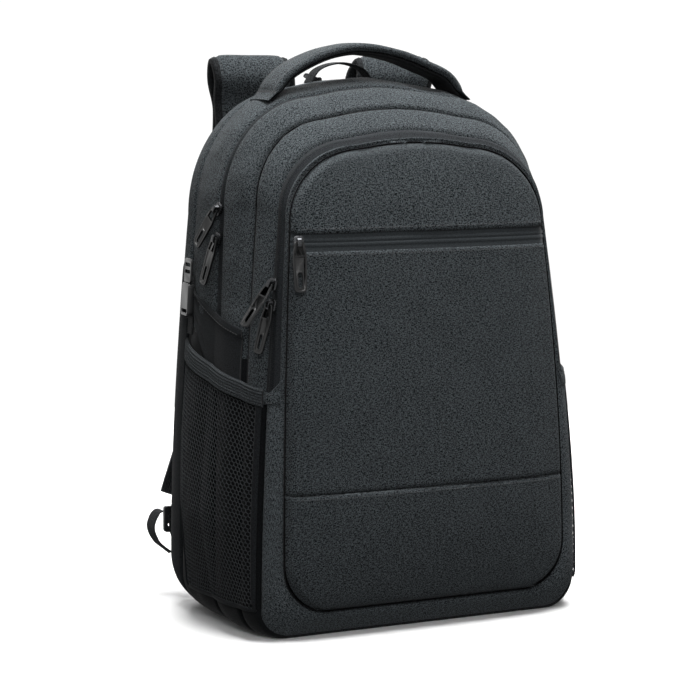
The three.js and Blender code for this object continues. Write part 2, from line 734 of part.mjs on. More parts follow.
// One zip slider with its pull, drawn flat: the pull hangs towards -y, and +z is away from the
// cloth. The pull's top bar passes through the slider's bail.
const bailHole = { low: sliderBase + 0.3, high: sliderBase + pullThickness + 1.7 };
const pullBarZ = (bailHole.low + bailHole.high) / 2;

function sliderGeometry() {
  const base = flatPart(roundedShape(sliderWidth, sliderLength, 2.4), sliderBase);
  const side = new THREE.Shape([
    new THREE.Vector2(-3.4, sliderBase - 0.5),
    new THREE.Vector2(3.4, sliderBase - 0.5),
    new THREE.Vector2(3.4, sliderBase + bailHeight - 1),
    new THREE.Vector2(2.2, sliderBase + bailHeight),
    new THREE.Vector2(-2.2, sliderBase + bailHeight),
    new THREE.Vector2(-3.4, sliderBase + bailHeight - 1),
  ]);
  side.holes.push(new THREE.Path([
    new THREE.Vector2(-2, bailHole.low),
    new THREE.Vector2(-2, bailHole.high),
    new THREE.Vector2(2, bailHole.high),
    new THREE.Vector2(2, bailHole.low),
  ]));
  const bail = new THREE.ExtrudeGeometry(side, { depth: bailWidth, bevelEnabled: false });
  bail.rotateX(Math.PI / 2);
  bail.rotateZ(Math.PI / 2);
  bail.translate(-bailWidth / 2, 0, 0);
  return joined(base, bail);
}

function pullGeometry() {
  const shape = new THREE.Shape();
  const half = pullWidth / 2;
  shape.moveTo(-2.4, 1);
  shape.lineTo(2.4, 1);
  shape.quadraticCurveTo(4, 0.6, 4.4, -2);
  shape.lineTo(half, -pullLength * 0.3);
  shape.lineTo(half - 0.8, -pullLength + 4);
  shape.quadraticCurveTo(half - 1, -pullLength + 1, half - 4, -pullLength + 1);
  shape.lineTo(4 - half, -pullLength + 1);
  shape.quadraticCurveTo(1 - half, -pullLength + 1, 0.8 - half, -pullLength + 4);
  shape.lineTo(-half, -pullLength * 0.3);
  shape.lineTo(-4.4, -2);
  shape.quadraticCurveTo(-4, 0.6, -2.4, 1);
  const eye = new THREE.Path();
  eye.moveTo(-2.2, -0.8);
  eye.lineTo(-half + 1.8, -pullLength * 0.26);
  eye.lineTo(half - 1.8, -pullLength * 0.26);
  eye.lineTo(2.2, -0.8);
  eye.closePath();
  shape.holes.push(eye, slotPath(3.6, pullLength * 0.3, 0, -pullLength * 0.74));
  const pull = flatPart(shape, pullThickness, 2);
  pull.translate(0, 0, -pullThickness / 2);
  return pull;
}

// A small ring to pull the laptop zip with.
function ringGeometry() {
  const shape = roundedShape(ringWidth, ringLength, 3);
  shape.holes.push(slotPath(ringWidth - 4, ringLength - 4, 0, 0));
  const ring = flatPart(shape, pullThickness, 2);
  ring.translate(0, 1 - ringLength / 2, -pullThickness / 2);
  return ring;
}

// The direction that faces away from a surface, given as a function of two lengths.
function outwardOf(pointAt, a, b) {
  const step = 2;
  const alongA = pointAt(a + step, b).sub(pointAt(a - step, b));
  const alongB = pointAt(a, b + step).sub(pointAt(a, b - step));
  const normal = alongA.cross(alongB).normalize();
  return normal.y > 0.5 || normal.x < -0.5 ? normal.negate() : normal;
}

// Stands a slider and its pull on a surface, with the pull hanging in a direction and raised
// off the cloth by an angle.
function addZipHead(parent, name, pointAt, a, b, hang, raised, geometry = pullGeometry()) {
  const outward = outwardOf(pointAt, a, b);
  const up = hang.clone().negate().addScaledVector(outward, hang.dot(outward)).normalize();
  const holder = new THREE.Group();
  holder.matrixAutoUpdate = false;
  holder.matrix.makeBasis(up.clone().cross(outward), up, outward)
    .setPosition(pointAt(a, b).addScaledVector(outward, gap));
  parent.add(holder);
  addPiece(holder, `${name}_slider`, sliderGeometry(), 'metal');
  const pull = addPiece(holder, `${name}_pull`, geometry, 'metal');
  pull.position.z = pullBarZ;
  pull.rotation.x = -THREE.MathUtils.degToRad(raised);
}

const seatLift = 0.2;

function addZipHeads(leftSide) {
  const zipSurface = (x, z) => new THREE.Vector3(x, panelFace(x, z) + zipRecess - seatLift, z);
  addZipHead(backpack, 'panel_zip', zipSurface,
    sliderWidth / 2 + 1 - widthAt(panelSection, panelZipBottom), panelZipBottom + panelZipHeight / 2,
    new THREE.Vector3(0, 0, -1), 3);

  const topSurface = (x, y) => {
    const { top, crown, shoulder, archX } = sectionAt(y);
    return new THREE.Vector3(x, y, top - zipRecess - (crown * 0.5 * Math.abs(x)) / (shoulder - archX));
  };
  addZipHead(backpack, 'laptop_zip', topSurface, -14, backFaceY - laptopZipWidth / 2,
    new THREE.Vector3(-1, 0, 0), 28, ringGeometry());

  const side = (y, z) => onSide(y, z, 1);
  const mainSide = (y, z) => onSide(y, z, seatLift);
  const frontZipMiddle = edgeSeamY - frontZipWidth / 2;
  addZipHead(leftSide, 'front_zip_upper', side, frontZipMiddle, 296, new THREE.Vector3(0, 0.2, -1), 26);
  addZipHead(leftSide, 'front_zip_lower', side, frontZipMiddle, 279, new THREE.Vector3(0, 0.16, -1), 3);
  addZipHead(leftSide, 'main_zip_upper', mainSide, mainZipY, 355, new THREE.Vector3(0, 0.8, -1), 4);
  addZipHead(leftSide, 'main_zip_lower', mainSide, mainZipY, 330, new THREE.Vector3(0, 0.3, -1), 4);
}

addCompartments();
addFrontPanel();
addBack();
addHandle();
addHangLoop();
const rightSide = new THREE.Group();
const leftSide = new THREE.Group();
leftSide.scale.x = -1;
backpack.add(rightSide, leftSide);
for (const [side, suffix] of [[leftSide, 'left'], [rightSide, 'right']]) {
  addPocket(side, suffix);
  addWing(side, suffix);
  addBuckle(side, suffix);
  addZipStop(side, suffix);
  addStrap(side, suffix);
}
addZipHeads(leftSide);

export default backpack;
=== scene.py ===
"""A slate grey laptop backpack standing on a pale floor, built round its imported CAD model."""

import math

import bpy
import numpy as np
from mathutils import Matrix, Vector, noise
from mathutils.bvhtree import BVHTree


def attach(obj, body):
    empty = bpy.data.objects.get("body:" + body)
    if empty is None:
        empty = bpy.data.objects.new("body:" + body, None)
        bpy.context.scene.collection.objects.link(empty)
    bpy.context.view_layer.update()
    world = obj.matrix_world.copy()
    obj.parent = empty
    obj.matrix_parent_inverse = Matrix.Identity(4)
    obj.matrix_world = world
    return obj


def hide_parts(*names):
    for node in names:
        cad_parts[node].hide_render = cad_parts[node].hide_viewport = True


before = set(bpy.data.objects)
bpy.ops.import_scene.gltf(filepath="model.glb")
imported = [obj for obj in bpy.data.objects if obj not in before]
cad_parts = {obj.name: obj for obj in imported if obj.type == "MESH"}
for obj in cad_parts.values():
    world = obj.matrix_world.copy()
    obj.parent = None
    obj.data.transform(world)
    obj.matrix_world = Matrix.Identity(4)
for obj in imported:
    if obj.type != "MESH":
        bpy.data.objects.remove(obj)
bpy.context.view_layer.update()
bpy.ops.object.select_all(action="DESELECT")
MM = 0.001

# Camera, floor and light.
# The bag is seen from its left front and a little above, on a round white floor in front of a
# white dome. Most of the light comes from a large soft lamp overhead, with smaller lamps in front
# and behind. The floor and the dome aren't part of the bag, and neither lights its dull surfaces.

VIEW_TURN = math.radians(-27)
VIEW_PITCH = math.radians(6.6)
VIEW_DISTANCE = 2.064
SENSOR_WIDTH = 36
LENS = 121.3
LOOK_HEIGHT = 0.228
LOOK_SIDEWAYS = -0.026
FLOOR_COLOUR = (0.85, 0.85, 0.85, 1)
FLOOR_RADIUS = 1.3
DOME_RADIUS = 9
DOME_GLOW = 1.05
SKY_LEVEL = 0.19


def new_material(name):
    """A material with its nodes on, with its node tree and its shader."""
    material = bpy.data.materials.new(name)
    material.use_nodes = True
    return material, material.node_tree, material.node_tree.nodes["Principled BSDF"]


def add_camera():
    right = Vector((math.cos(VIEW_TURN), math.sin(VIEW_TURN), 0))
    back = Vector((math.sin(VIEW_TURN) * math.cos(VIEW_PITCH),
                   -math.cos(VIEW_TURN) * math.cos(VIEW_PITCH),
                   math.sin(VIEW_PITCH)))
    up = back.cross(right)
    target = right * LOOK_SIDEWAYS + Vector((0, 0, LOOK_HEIGHT))
    camera = bpy.data.objects.new("camera", bpy.data.cameras.new("camera"))
    camera.data.sensor_width = SENSOR_WIDTH
    camera.data.lens = LENS
    camera.data.clip_end = 20
    camera.matrix_world = (Matrix.Translation(target + back * VIEW_DISTANCE)
                           @ Matrix((right, up, back)).transposed().to_4x4())
    bpy.context.collection.objects.link(camera)
    bpy.context.scene.camera = camera


def add_lamp(name, place, size, watts):
    lamp = bpy.data.objects.new(name, bpy.data.lights.new(name, "AREA"))
    lamp.data.shape = "DISK"
    lamp.data.size = size
    lamp.data.energy = watts
    lamp.location = place
    toward_bag = Vector((0, 0, 0.25)) - Vector(place)
    lamp.rotation_euler = toward_bag.to_track_quat("-Z", "Y").to_euler()
    bpy.context.collection.objects.link(lamp)


def keep_light_off_bag(surface):
    """Leaves a surface to the camera and to gloss, as in a picture cut out on white."""
    surface.visible_diffuse = False
    surface.visible_transmission = False
    bpy.ops.object.select_all(action="DESELECT")


def add_floor():
    bpy.ops.mesh.primitive_circle_add(vertices=96, radius=FLOOR_RADIUS, fill_type="NGON")
    floor = bpy.context.object
    floor.name = "floor"
    paint, _, shader = new_material("floor_paint")
    shader.inputs["Base Color"].default_value = FLOOR_COLOUR
    shader.inputs["Roughness"].default_value = 0.9
    floor.data.materials.append(paint)
    floor.visible_glossy = False
    keep_light_off_bag(floor)


def add_dome():
    bpy.ops.mesh.primitive_uv_sphere_add(segments=32, ring_count=16, radius=DOME_RADIUS)
    dome = bpy.context.object
    dome.name = "white_dome"
    glow, _, shader = new_material("dome_white")
    shader.inputs["Base Color"].default_value = (0, 0, 0, 1)
    shader.inputs["Specular IOR Level"].default_value = 0
    shader.inputs["Emission Color"].default_value = (1, 1, 1, 1)
    shader.inputs["Emission Strength"].default_value = DOME_GLOW
    dome.data.materials.append(glow)
    dome.visible_shadow = False
    keep_light_off_bag(dome)


add_camera()
add_floor()
add_dome()
add_lamp("overhead_lamp", (0.15, -0.1, 2.4), 1.6, 128)
add_lamp("front_lamp", (-1.0, -2.2, 1.6), 0.7, 24)
add_lamp("back_lamp", (0.9, 2.4, 1.3), 1.0, 42)
world = bpy.data.worlds.new("studio")
world.use_nodes = True
sky = world.node_tree.nodes["Background"]
sky.inputs["Color"].default_value = (1, 1, 1, 1)
sky.inputs["Strength"].default_value = SKY_LEVEL
bpy.context.scene.world = world
bpy.context.scene.view_settings.view_transform = "Standard"

# Body bands.
# Five bands of heathered polyester go all round the bag, sewn edge to edge over foam. Each
# swells between its seams, and its edges turn in where it is sewn.

HALF_WIDTH = 162
BODY_HEIGHT = 458
BACK_Y = 95
LAPTOP_SEAM_Y = 63
MAIN_ZIP_Y = -8
FRONT_SEAM_Y = -54
EDGE_SEAM_Y = -77
PANEL_SEAM_Y = -90
MAIN_ZIP_WIDTH = 9
MAIN_ZIP_END = 263
FRONT_ZIP_WIDTH = 9.4
FRONT_ZIP_END = 209
LAPTOP_ZIP_WIDTH = 8
LAPTOP_ZIP_END = 304
CLOTH_WALL = 1.8
HEM = 3
SEAM_GAP = 0.7
SIDE_POWER = 1.7
BAG_MIDDLE = (0, 20, 230)
HEATHER_DARK = (0.001, 0.0014, 0.002, 1)
HEATHER_LIGHT = (0.080, 0.092, 0.099, 1)
# Lighter copy of the heather, as painted light on the border band's lower sides.
PAINTED_LIGHT_HEATHER_DARK = (0.003, 0.004, 0.005, 1)
PAINTED_LIGHT_HEATHER_LIGHT = (0.105, 0.120, 0.129, 1)
PLAIN_DARK = (0.006, 0.007, 0.008, 1)
PLAIN_LIGHT = (0.016, 0.018, 0.020, 1)
# Plain dark cloth made darker still, as painted shade on the band faces behind the net pockets.
POCKET_SHADE_DARK = (0.003, 0.0035, 0.004, 1)
POCKET_SHADE_LIGHT = (0.008, 0.009, 0.010, 1)

# Sections of the body, as shares of half its width and of its height, as in the CAD model.
SECTION_NAMES = ("base", "shoulder", "top", "lift", "arch_x", "arch_z", "crown", "corner", "lean")
SECTIONS = {
    PANEL_SEAM_Y: (0.83, 0.748, 0.898, 0.05, 0.43, 0.138, 0.011, 0.26, 0.071),
    EDGE_SEAM_Y: (0.94, 0.768, 0.918, 0, 0.43, 0.14, 0.014, 0.17, 0.071),
    FRONT_SEAM_Y: (0.985, 0.835, 0.96, 0, 0.43, 0.165, 0.018, 0.17, 0.071),
    MAIN_ZIP_Y: (1.0, 0.925, 0.998, 0, 0.57, 0.215, 0.016, 0.19, 0.04),
    LAPTOP_SEAM_Y: (1.0, 0.905, 1.009, 0, 0.56, 0.233, 0.018, 0.21, 0),
    BACK_Y: (0.985, 0.87, 1.0, 0.018, 0.56, 0.233, 0.018, 0.24, 0),
}
IN_WIDTHS = ("base", "shoulder", "arch_x", "corner")
SWELL = (3, 2, 3, 3, 2)


def section_at(depth, inset=0):
    """Sizes of the body's section at a depth, or at each of an array of depths."""
    seams = np.array(list(SECTIONS))
    rows = np.array(list(SECTIONS.values()))
    depth = np.clip(depth, seams[0], seams[-1])
    band = np.clip(np.searchsorted(seams, depth, side="right") - 1, 0, len(SWELL) - 1)
    share = (depth - seams[band]) / (seams[band + 1] - seams[band])
    bulge = np.array(SWELL)[band] * np.sin(np.pi * share)
    found = {}
    for column, name in enumerate(SECTION_NAMES):
        unit = HALF_WIDTH if name in IN_WIDTHS else BODY_HEIGHT
        found[name] = np.interp(depth, seams, rows[:, column]) * unit
    found["base"] += bulge - inset
    found["shoulder"] += bulge - inset
    found["top"] += bulge - inset
    found["lift"] += inset
    found["corner"] = np.maximum(found["corner"] - inset, 2)
    return found


def width_at(section, height):
    """Half the width of a section at a height."""
    corner_top = section["lift"] + section["corner"]
    arch_start = section["top"] - section["crown"] - section["arch_z"]
    drop = np.clip(corner_top - height, 0, section["corner"])
    low = section["base"] - section["corner"] + np.sqrt(section["corner"] ** 2 - drop ** 2)
    share = np.clip((height - corner_top) / (arch_start - corner_top), 0, 1)
    side = section["base"] + (section["shoulder"] - section["base"]) * share ** SIDE_POWER
    rise = np.clip((height - arch_start) / section["arch_z"], 0, 1)
    arch = section["shoulder"] - section["arch_x"] * (1 - np.sqrt(1 - rise ** 2))
    over = np.clip((section["top"] - height) / section["crown"], 0, 1)
    crown = (section["shoulder"] - section["arch_x"]) * np.sqrt(over)
    upper = np.where(height <= section["top"] - section["crown"], arch, crown)
    return np.where(height < corner_top, low, np.where(height <= arch_start, side, upper))


def lean_at(section, height):
    return section["lean"] * (height / BODY_HEIGHT) ** 2


def outline_stations():
    """Stretch and share along it of each point of half an outline, from bottom to top."""
    stations = []
    for stretch, steps in enumerate((12, 14, 80, 44, 14)):
        stations += [(stretch, step / steps) for step in range(steps)]
    return np.array(stations + [(4, 1.0)])


def outline_at(depth):
    """Points of the body's outline for an array of depths, depth[station, row]."""
    section = section_at(depth)
    half = outline_stations()
    stations = np.concatenate([half, half[-2:0:-1]])
    stretch, share = stations[:, 0, None], stations[:, 1, None]
    sign = np.ones(len(stations))
    sign[len(half):] = -1
    corner_top = section["lift"] + section["corner"]
    arch_start = section["top"] - section["crown"] - section["arch_z"]
    turn = share * np.pi / 2
    flat = section["base"] - section["corner"]
    crown_x = section["shoulder"] - section["arch_x"]
    across = np.select(
        [stretch == 0, stretch == 1, stretch == 2, stretch == 3],
        [flat * share,
         flat + section["corner"] * np.sin(turn),
         section["base"] + (section["shoulder"] - section["base"]) * share ** SIDE_POWER,
         crown_x + section["arch_x"] * np.cos(turn)],
        crown_x * (1 - share))
    height = np.select(
        [stretch == 0, stretch == 1, stretch == 2, stretch == 3],
        [section["lift"] + 0 * share,
         section["lift"] + section["corner"] * (1 - np.cos(turn)),
         corner_top + (arch_start - corner_top) * share,
         arch_start + section["arch_z"] * np.sin(turn)],
        section["top"] - section["crown"] * (1 - share) ** 2)
    for _ in range(8):
        blend = ((stretch == 3) & (share > 0.7)) | ((stretch == 4) & (share < 0.9))
        for values in (across, height):
            softer = (np.roll(values, 1, 0) + np.roll(values, -1, 0)) / 4 + values / 2
            np.copyto(values, softer, where=np.broadcast_to(blend, values.shape))
    return np.stack([across * sign[:, None], depth + lean_at(section, height), height], axis=-1)


def facing(points, closed):
    """Unit normals of a grid of points, away from the middle of the bag."""
    along = (np.roll(points, -1, 0) - np.roll(points, 1, 0)) if closed else np.gradient(points, axis=0)
    normal = np.cross(along, np.gradient(points, axis=1))
    normal /= np.maximum(np.linalg.norm(normal, axis=-1, keepdims=True), 1e-9)
    if np.sum(normal * (points - BAG_MIDDLE)) < 0:
        normal = -normal
    return normal


def folds(points, size, seed):
    """Soft noise between -1 and 1 at each point, for creases of about that size."""
    flat = points.reshape(-1, 3) / size + seed * 17.3
    values = [noise.noise(Vector(point)) for point in flat]
    return np.array(values).reshape(points.shape[:-1])


def lengths_along(points, axis):
    """Distance from the first row or column of a grid, along one axis."""
    step = np.linalg.norm(np.diff(points, axis=axis), axis=-1)
    pad = [(0, 0), (0, 0)]
    pad[axis] = (1, 0)
    return np.pad(np.cumsum(step, axis=axis), pad)


def add_object(name, verts, faces, corners=None):
    """Puts a smooth mesh in the scene, from points and UV corners in metres."""
    mesh = bpy.data.meshes.new(name)
    mesh.from_pydata(verts, [], faces)
    mesh.uv_layers.new(name="UVMap")
    if corners is not None:
        mesh.uv_layers["UVMap"].data.foreach_set("uv", corners.ravel())
    mesh.shade_smooth()
    piece = bpy.data.objects.new(name, mesh)
    bpy.context.collection.objects.link(piece)
    return piece


def add_grid(name, points, closed=False, mirrored=False, capped=False):
    """A mesh from a grid of points in millimetres, with a UV map in metres. A closed grid is a
    tube, which can be capped at both ends."""
    columns, rows = points.shape[:2]
    looped = np.concatenate([points, points[:1]]) if closed else points
    map_u = lengths_along(looped, 0).mean(axis=1)[:, None] + np.zeros((1, rows))
    map_v = lengths_along(looped, 1)
    verts = points.reshape(-1, 3).copy()
    spans = columns if closed else columns - 1
    u, v = np.meshgrid(np.arange(spans), np.arange(rows - 1), indexing="ij")
    ahead = (u + 1) % columns
    faces = np.stack([u * rows + v, ahead * rows + v, ahead * rows + v + 1, u * rows + v + 1], axis=-1)
    corners = np.stack([np.stack([map_u[u + a, v + b], map_v[u + a, v + b]], axis=-1)
                        for a, b in ((0, 0), (1, 0), (1, 1), (0, 1))], axis=2)
    faces = faces.reshape(-1, 4)
    corners = corners.reshape(-1, 4, 2)
    centre = verts[faces].mean(axis=1)
    turned = np.cross(verts[faces[:, 2]] - verts[faces[:, 0]], verts[faces[:, 3]] - verts[faces[:, 1]])
    wrong = np.sum(turned * (centre - BAG_MIDDLE)) < 0
    if mirrored:
        verts[:, 0] *= -1
    if wrong != mirrored:
        faces = faces[:, ::-1]
        corners = corners[:, ::-1]
    faces = faces.tolist()
    corners = corners.reshape(-1, 2)
    if capped:
        first = [column * rows for column in range(columns)]
        last = [column * rows + rows - 1 for column in range(columns)]
        faces += [last, first[::-1]] if wrong != mirrored else [last[::-1], first]
        corners = np.concatenate([corners, np.zeros((2 * columns, 2))])
    return add_object(name, (verts * MM).tolist(), faces, corners * MM)


def thicken(piece, wall):
    """Gives a sheet of cloth its thickness, inwards from the shown face."""
    solid = piece.modifiers.new("wall", "SOLIDIFY")
    solid.thickness = wall * MM
    solid.offset = -1


def dress(piece, material, slot, *nodes):
    """Finishes a piece: its material, the CAD nodes it stands for, and the body it rides on."""
    piece.data.materials.append(material)
    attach(piece, "root")
    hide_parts(*nodes)


def tint(tree, shader, factor, dark, light):
    """Colours a shader between a dark and a light colour, by another node's value."""
    mix = tree.nodes.new("ShaderNodeMix")
    mix.data_type = "RGBA"
    mix.inputs[6].default_value = dark
    mix.inputs[7].default_value = light
    tree.links.new(factor, mix.inputs[0])
    tree.links.new(mix.outputs[2], shader.inputs["Base Color"])


def add_bump(tree, shader, height, strength, distance):
    """Raises a finish by another node's value, over a distance in metres."""
    bump = tree.nodes.new("ShaderNodeBump")
    bump.inputs["Strength"].default_value = strength
    bump.inputs["Distance"].default_value = distance
    tree.links.new(height, bump.inputs["Height"])
    tree.links.new(bump.outputs["Normal"], shader.inputs["Normal"])


def woven(name, dark, light, thread, roughness=0.92, mottle=0.5, relief=0.25):
    """A plain weave of mixed dark and light threads, drawn on the piece's UV map in metres."""
    material, tree, shader = new_material(name)
    nodes, links = tree.nodes, tree.links
    shader.inputs["Roughness"].default_value = roughness
    shader.inputs["Specular IOR Level"].default_value = 0.03
    shader.inputs["Sheen Weight"].default_value = 0.05
    shader.inputs["Sheen Roughness"].default_value = 0.5
    place = nodes.new("ShaderNodeUVMap")
    place.uv_map = "UVMap"

    def streaks(scale_u, scale_v):
        stretch = nodes.new("ShaderNodeMapping")
        stretch.inputs["Scale"].default_value = (scale_u, scale_v, 1)
        speckle = nodes.new("ShaderNodeTexNoise")
        speckle.noise_dimensions = "2D"
        speckle.inputs["Scale"].default_value = 1
        speckle.inputs["Detail"].default_value = 2
        links.new(place.outputs["UV"], stretch.inputs["Vector"])
        links.new(stretch.outputs["Vector"], speckle.inputs["Vector"])
        return speckle.outputs["Fac"]

    def combine(operation, first, second):
        step = nodes.new("ShaderNodeMath")
        step.operation = operation
        for socket, value in zip(step.inputs, (first, second)):
            if isinstance(value, (int, float)):
                socket.default_value = value
            else:
                links.new(value, socket)
        return step.outputs["Value"]

    fine = 1000 / thread
    warp = streaks(fine * 1.2, fine / 2)
    weft = streaks(fine / 3.2, fine * 1.2)
    cloud = streaks(45, 45)
    split = nodes.new("ShaderNodeSeparateXYZ")
    links.new(place.outputs["UV"], split.inputs["Vector"])
    wave_u = combine("SINE", combine("MULTIPLY", split.outputs["X"], fine * 3.1416), 0)
    wave_v = combine("SINE", combine("MULTIPLY", split.outputs["Y"], fine * 3.1416), 0)
    cross = combine("MULTIPLY", wave_u, wave_v)
    on_top = combine("GREATER_THAN", cross, 0)
    yarn = nodes.new("ShaderNodeMix")
    links.new(on_top, yarn.inputs["Factor"])
    links.new(warp, yarn.inputs["A"])
    links.new(weft, yarn.inputs["B"])
    drift = combine("MULTIPLY", combine("SUBTRACT", cloud, 0.5), mottle * 0.08)
    mixed = combine("ADD", yarn.outputs["Result"], drift)
    spread = nodes.new("ShaderNodeMapRange")
    spread.inputs["From Min"].default_value = 0.42
    spread.inputs["From Max"].default_value = 0.58
    links.new(mixed, spread.inputs["Value"])
    tint(tree, shader, spread.outputs["Result"], dark, light)
    height = combine("ADD", combine("ABSOLUTE", cross, 0), yarn.outputs["Result"])
    add_bump(tree, shader, height, relief, 0.0004)
    return material


heather = woven("heather_cloth", HEATHER_DARK, HEATHER_LIGHT, 0.84, relief=0.6)
# A lighter copy of the heather: painted light.
painted_light_heather = woven("painted_light_heather_cloth", PAINTED_LIGHT_HEATHER_DARK, PAINTED_LIGHT_HEATHER_LIGHT, 0.84, relief=0.6)
plain = woven("plain_dark_cloth", PLAIN_DARK, PLAIN_LIGHT, 0.7, mottle=0.2)
# The plain cloth darkened further: painted shade behind the net pockets.
pocket_painted_shade = woven("pocket_painted_shade", POCKET_SHADE_DARK, POCKET_SHADE_LIGHT, 0.7, mottle=0.2)


def ramp(values, start, end):
    share = np.clip((values - start) / (end - start), 0, 1)
    return share * share * (3 - 2 * share)


def add_band(name, rear_at, front_at, rows, puff, crease, seed):
    """A band of cloth round the body, with turned-in edges. The edges step aside for zips."""
    station_count = 2 * len(outline_stations()) - 2
    middle = (rear_at(0) + front_at(0)) / 2
    heights = outline_at(np.full((station_count, 1), middle))[:, 0, 2]
    rear = rear_at(heights)[:, None]
    front = front_at(heights)[:, None]
    share = 0.5 - 0.5 * np.cos(np.pi * np.linspace(0, 1, rows + 1))[None, :]
    share = 0.6 * share + 0.4 * np.linspace(0, 1, rows + 1)[None, :]
    points = outline_at(rear + (front - rear) * share)
    outward = facing(points, True)
    from_edge = np.minimum(share, 1 - share) * np.abs(front - rear)
    off_floor = ramp(points[..., 2], 2, 26)
    soft = ramp(from_edge, 0, 12) * off_floor
    lift = puff * np.sin(np.pi * share) ** 0.7 * off_floor
    lift = lift - 2.6 * np.exp(-(from_edge / 1.5) ** 2)
    lift = lift + crease * soft * folds(points * np.array([1, 1, 0.6]), 34, seed)
    lift = lift + crease * 0.4 * soft * folds(points, 15, seed + 3)
    points = points + outward * lift[..., None]
    hems = [points[:, end] - outward[:, end] * HEM for end in (0, -1)]
    points = np.concatenate([hems[0][:, None], points, hems[1][:, None]], axis=1)
    piece = add_grid(name, points, closed=True)
    thicken(piece, CLOTH_WALL)
    return piece


def second_cloth_below(piece, height, cloth):
    """Faces of the sides and bottom below a height take a second material: a plainer cloth, plain cloth
    darkened as painted shade, or a lighter heather as painted light.
    """
    piece.data.materials.append(cloth)
    for face in piece.data.polygons:
        if face.center.z < height * MM:
            face.material_index = 1


def flat(value):
    """An edge of a band that keeps to one depth."""
    return lambda height: value + 0 * np.asarray(height, dtype=float)


def stepped(plain_edge, zip_edge, zip_end):
    """An edge of a band that steps aside above the end of a zip."""
    return lambda height: np.where(np.asarray(height) > zip_end, zip_edge, plain_edge)


laptop_rear = stepped(BACK_Y - 0.4, BACK_Y - LAPTOP_ZIP_WIDTH, LAPTOP_ZIP_END)
main_rear_edge = stepped(MAIN_ZIP_Y + 0.2, MAIN_ZIP_Y + MAIN_ZIP_WIDTH / 2, MAIN_ZIP_END)
main_front_edge = stepped(MAIN_ZIP_Y - 0.2, MAIN_ZIP_Y - MAIN_ZIP_WIDTH / 2, MAIN_ZIP_END)
border_rear = stepped(EDGE_SEAM_Y - 0.2, EDGE_SEAM_Y - FRONT_ZIP_WIDTH, FRONT_ZIP_END)

laptop_band = add_band("laptop_band", laptop_rear, flat(LAPTOP_SEAM_Y + SEAM_GAP), 14, 0.8, 0.6, 1)
dress(laptop_band, heather, "dark_cloth", "laptop_gusset")
second_cloth_below(laptop_band, 300, plain)
main_rear_band = add_band("main_rear_band", flat(LAPTOP_SEAM_Y - SEAM_GAP), main_rear_edge, 26, 1.2, 2.6, 2)
dress(main_rear_band, heather, "heather", "main_rear_gusset")
# Below the pocket line the band takes the darkened plain cloth: painted shade behind the net.
second_cloth_below(main_rear_band, 250, pocket_painted_shade)
main_front_band = add_band("main_front_band", main_front_edge, flat(FRONT_SEAM_Y + SEAM_GAP), 20, 1.2, 2.2, 3)
dress(main_front_band, heather, "heather", "main_front_gusset")
# Below the pocket line the band takes the darkened plain cloth: painted shade behind the net.
second_cloth_below(main_front_band, 232, pocket_painted_shade)
front_band = add_band("front_band", flat(FRONT_SEAM_Y - SEAM_GAP), flat(EDGE_SEAM_Y + 0.4), 14, 0.4, 0.5, 4)
dress(front_band, heather, "heather", "front_gusset")
# Below the pocket line the band takes the darkened plain cloth: painted shade behind the net.
second_cloth_below(front_band, 203, pocket_painted_shade)
border_band = add_band("border_band", border_rear, flat(PANEL_SEAM_Y + SEAM_GAP), 12, 1.4, 0.5, 5)
dress(border_band, heather, "heather", "front_border")
# The border band's lower sides take the lighter copy of the heather: painted light.
second_cloth_below(border_band, FRONT_ZIP_END - 6, painted_light_heather)

# Stitching.
# Rows of lock stitches hold hems, seams and bindings down. Each stitch is a short, rounded
# length of thread that lies on the cloth.

STITCH_PITCH = 3.4
STITCH_LENGTH = 2.5
THREAD = 0.55
THREAD_DARK = (0.010, 0.011, 0.012, 1)
THREAD_LIGHT = (0.042, 0.046, 0.050, 1)


def add_stitches(name, cloth, path, mirrored=False):
    """Stitches along a path in millimetres, laid on the nearest face of a piece of cloth."""
    surface = BVHTree.FromPolygons([vertex.co for vertex in cloth.data.vertices],
                                   [face.vertices for face in cloth.data.polygons])
    path = np.array(path) * (-1 if mirrored else 1, 1, 1)
    travel = np.concatenate([[0], np.cumsum(np.linalg.norm(np.diff(path, axis=0), axis=1))])
    starts = np.arange(STITCH_PITCH / 2, travel[-1] - STITCH_LENGTH, STITCH_PITCH)
    profile = ((0.0, 0.35, -0.3), (0.18, 1.0, 0.2), (0.82, 1.0, 0.2), (1.0, 0.35, -0.3))
    verts, faces = [], []
    for start in starts:
        ends = [Vector([np.interp(place, travel, path[:, axis]) for axis in range(3)]) * MM
                for place in (start, start + STITCH_LENGTH)]
        laid = [surface.find_nearest(end) for end in ends]
        along = (laid[1][0] - laid[0][0]).normalized()
        out = laid[0][1]
        if out.dot(laid[0][0] - Vector(BAG_MIDDLE) * MM) < 0:
            out = -out
        side = along.cross(out).normalized()
        first = len(verts)
        for share, wide, high in profile:
            centre = laid[0][0].lerp(laid[1][0], share) + out * high * THREAD * MM
            for corner in range(6):
                turn = corner * math.pi / 3
                verts.append(centre + (side * math.cos(turn) + out * math.sin(turn)) * wide * THREAD / 2 * MM)
        for ring in range(3):
            for corner in range(6):
                low = first + ring * 6
                after = (corner + 1) % 6
                faces.append((low + corner, low + after, low + 6 + after, low + 6 + corner))
        faces.append(tuple(first + corner for corner in reversed(range(6))))
        faces.append(tuple(first + 18 + corner for corner in range(6)))
    dress(add_object(name, verts, faces), sewing_thread, "dark_cloth")


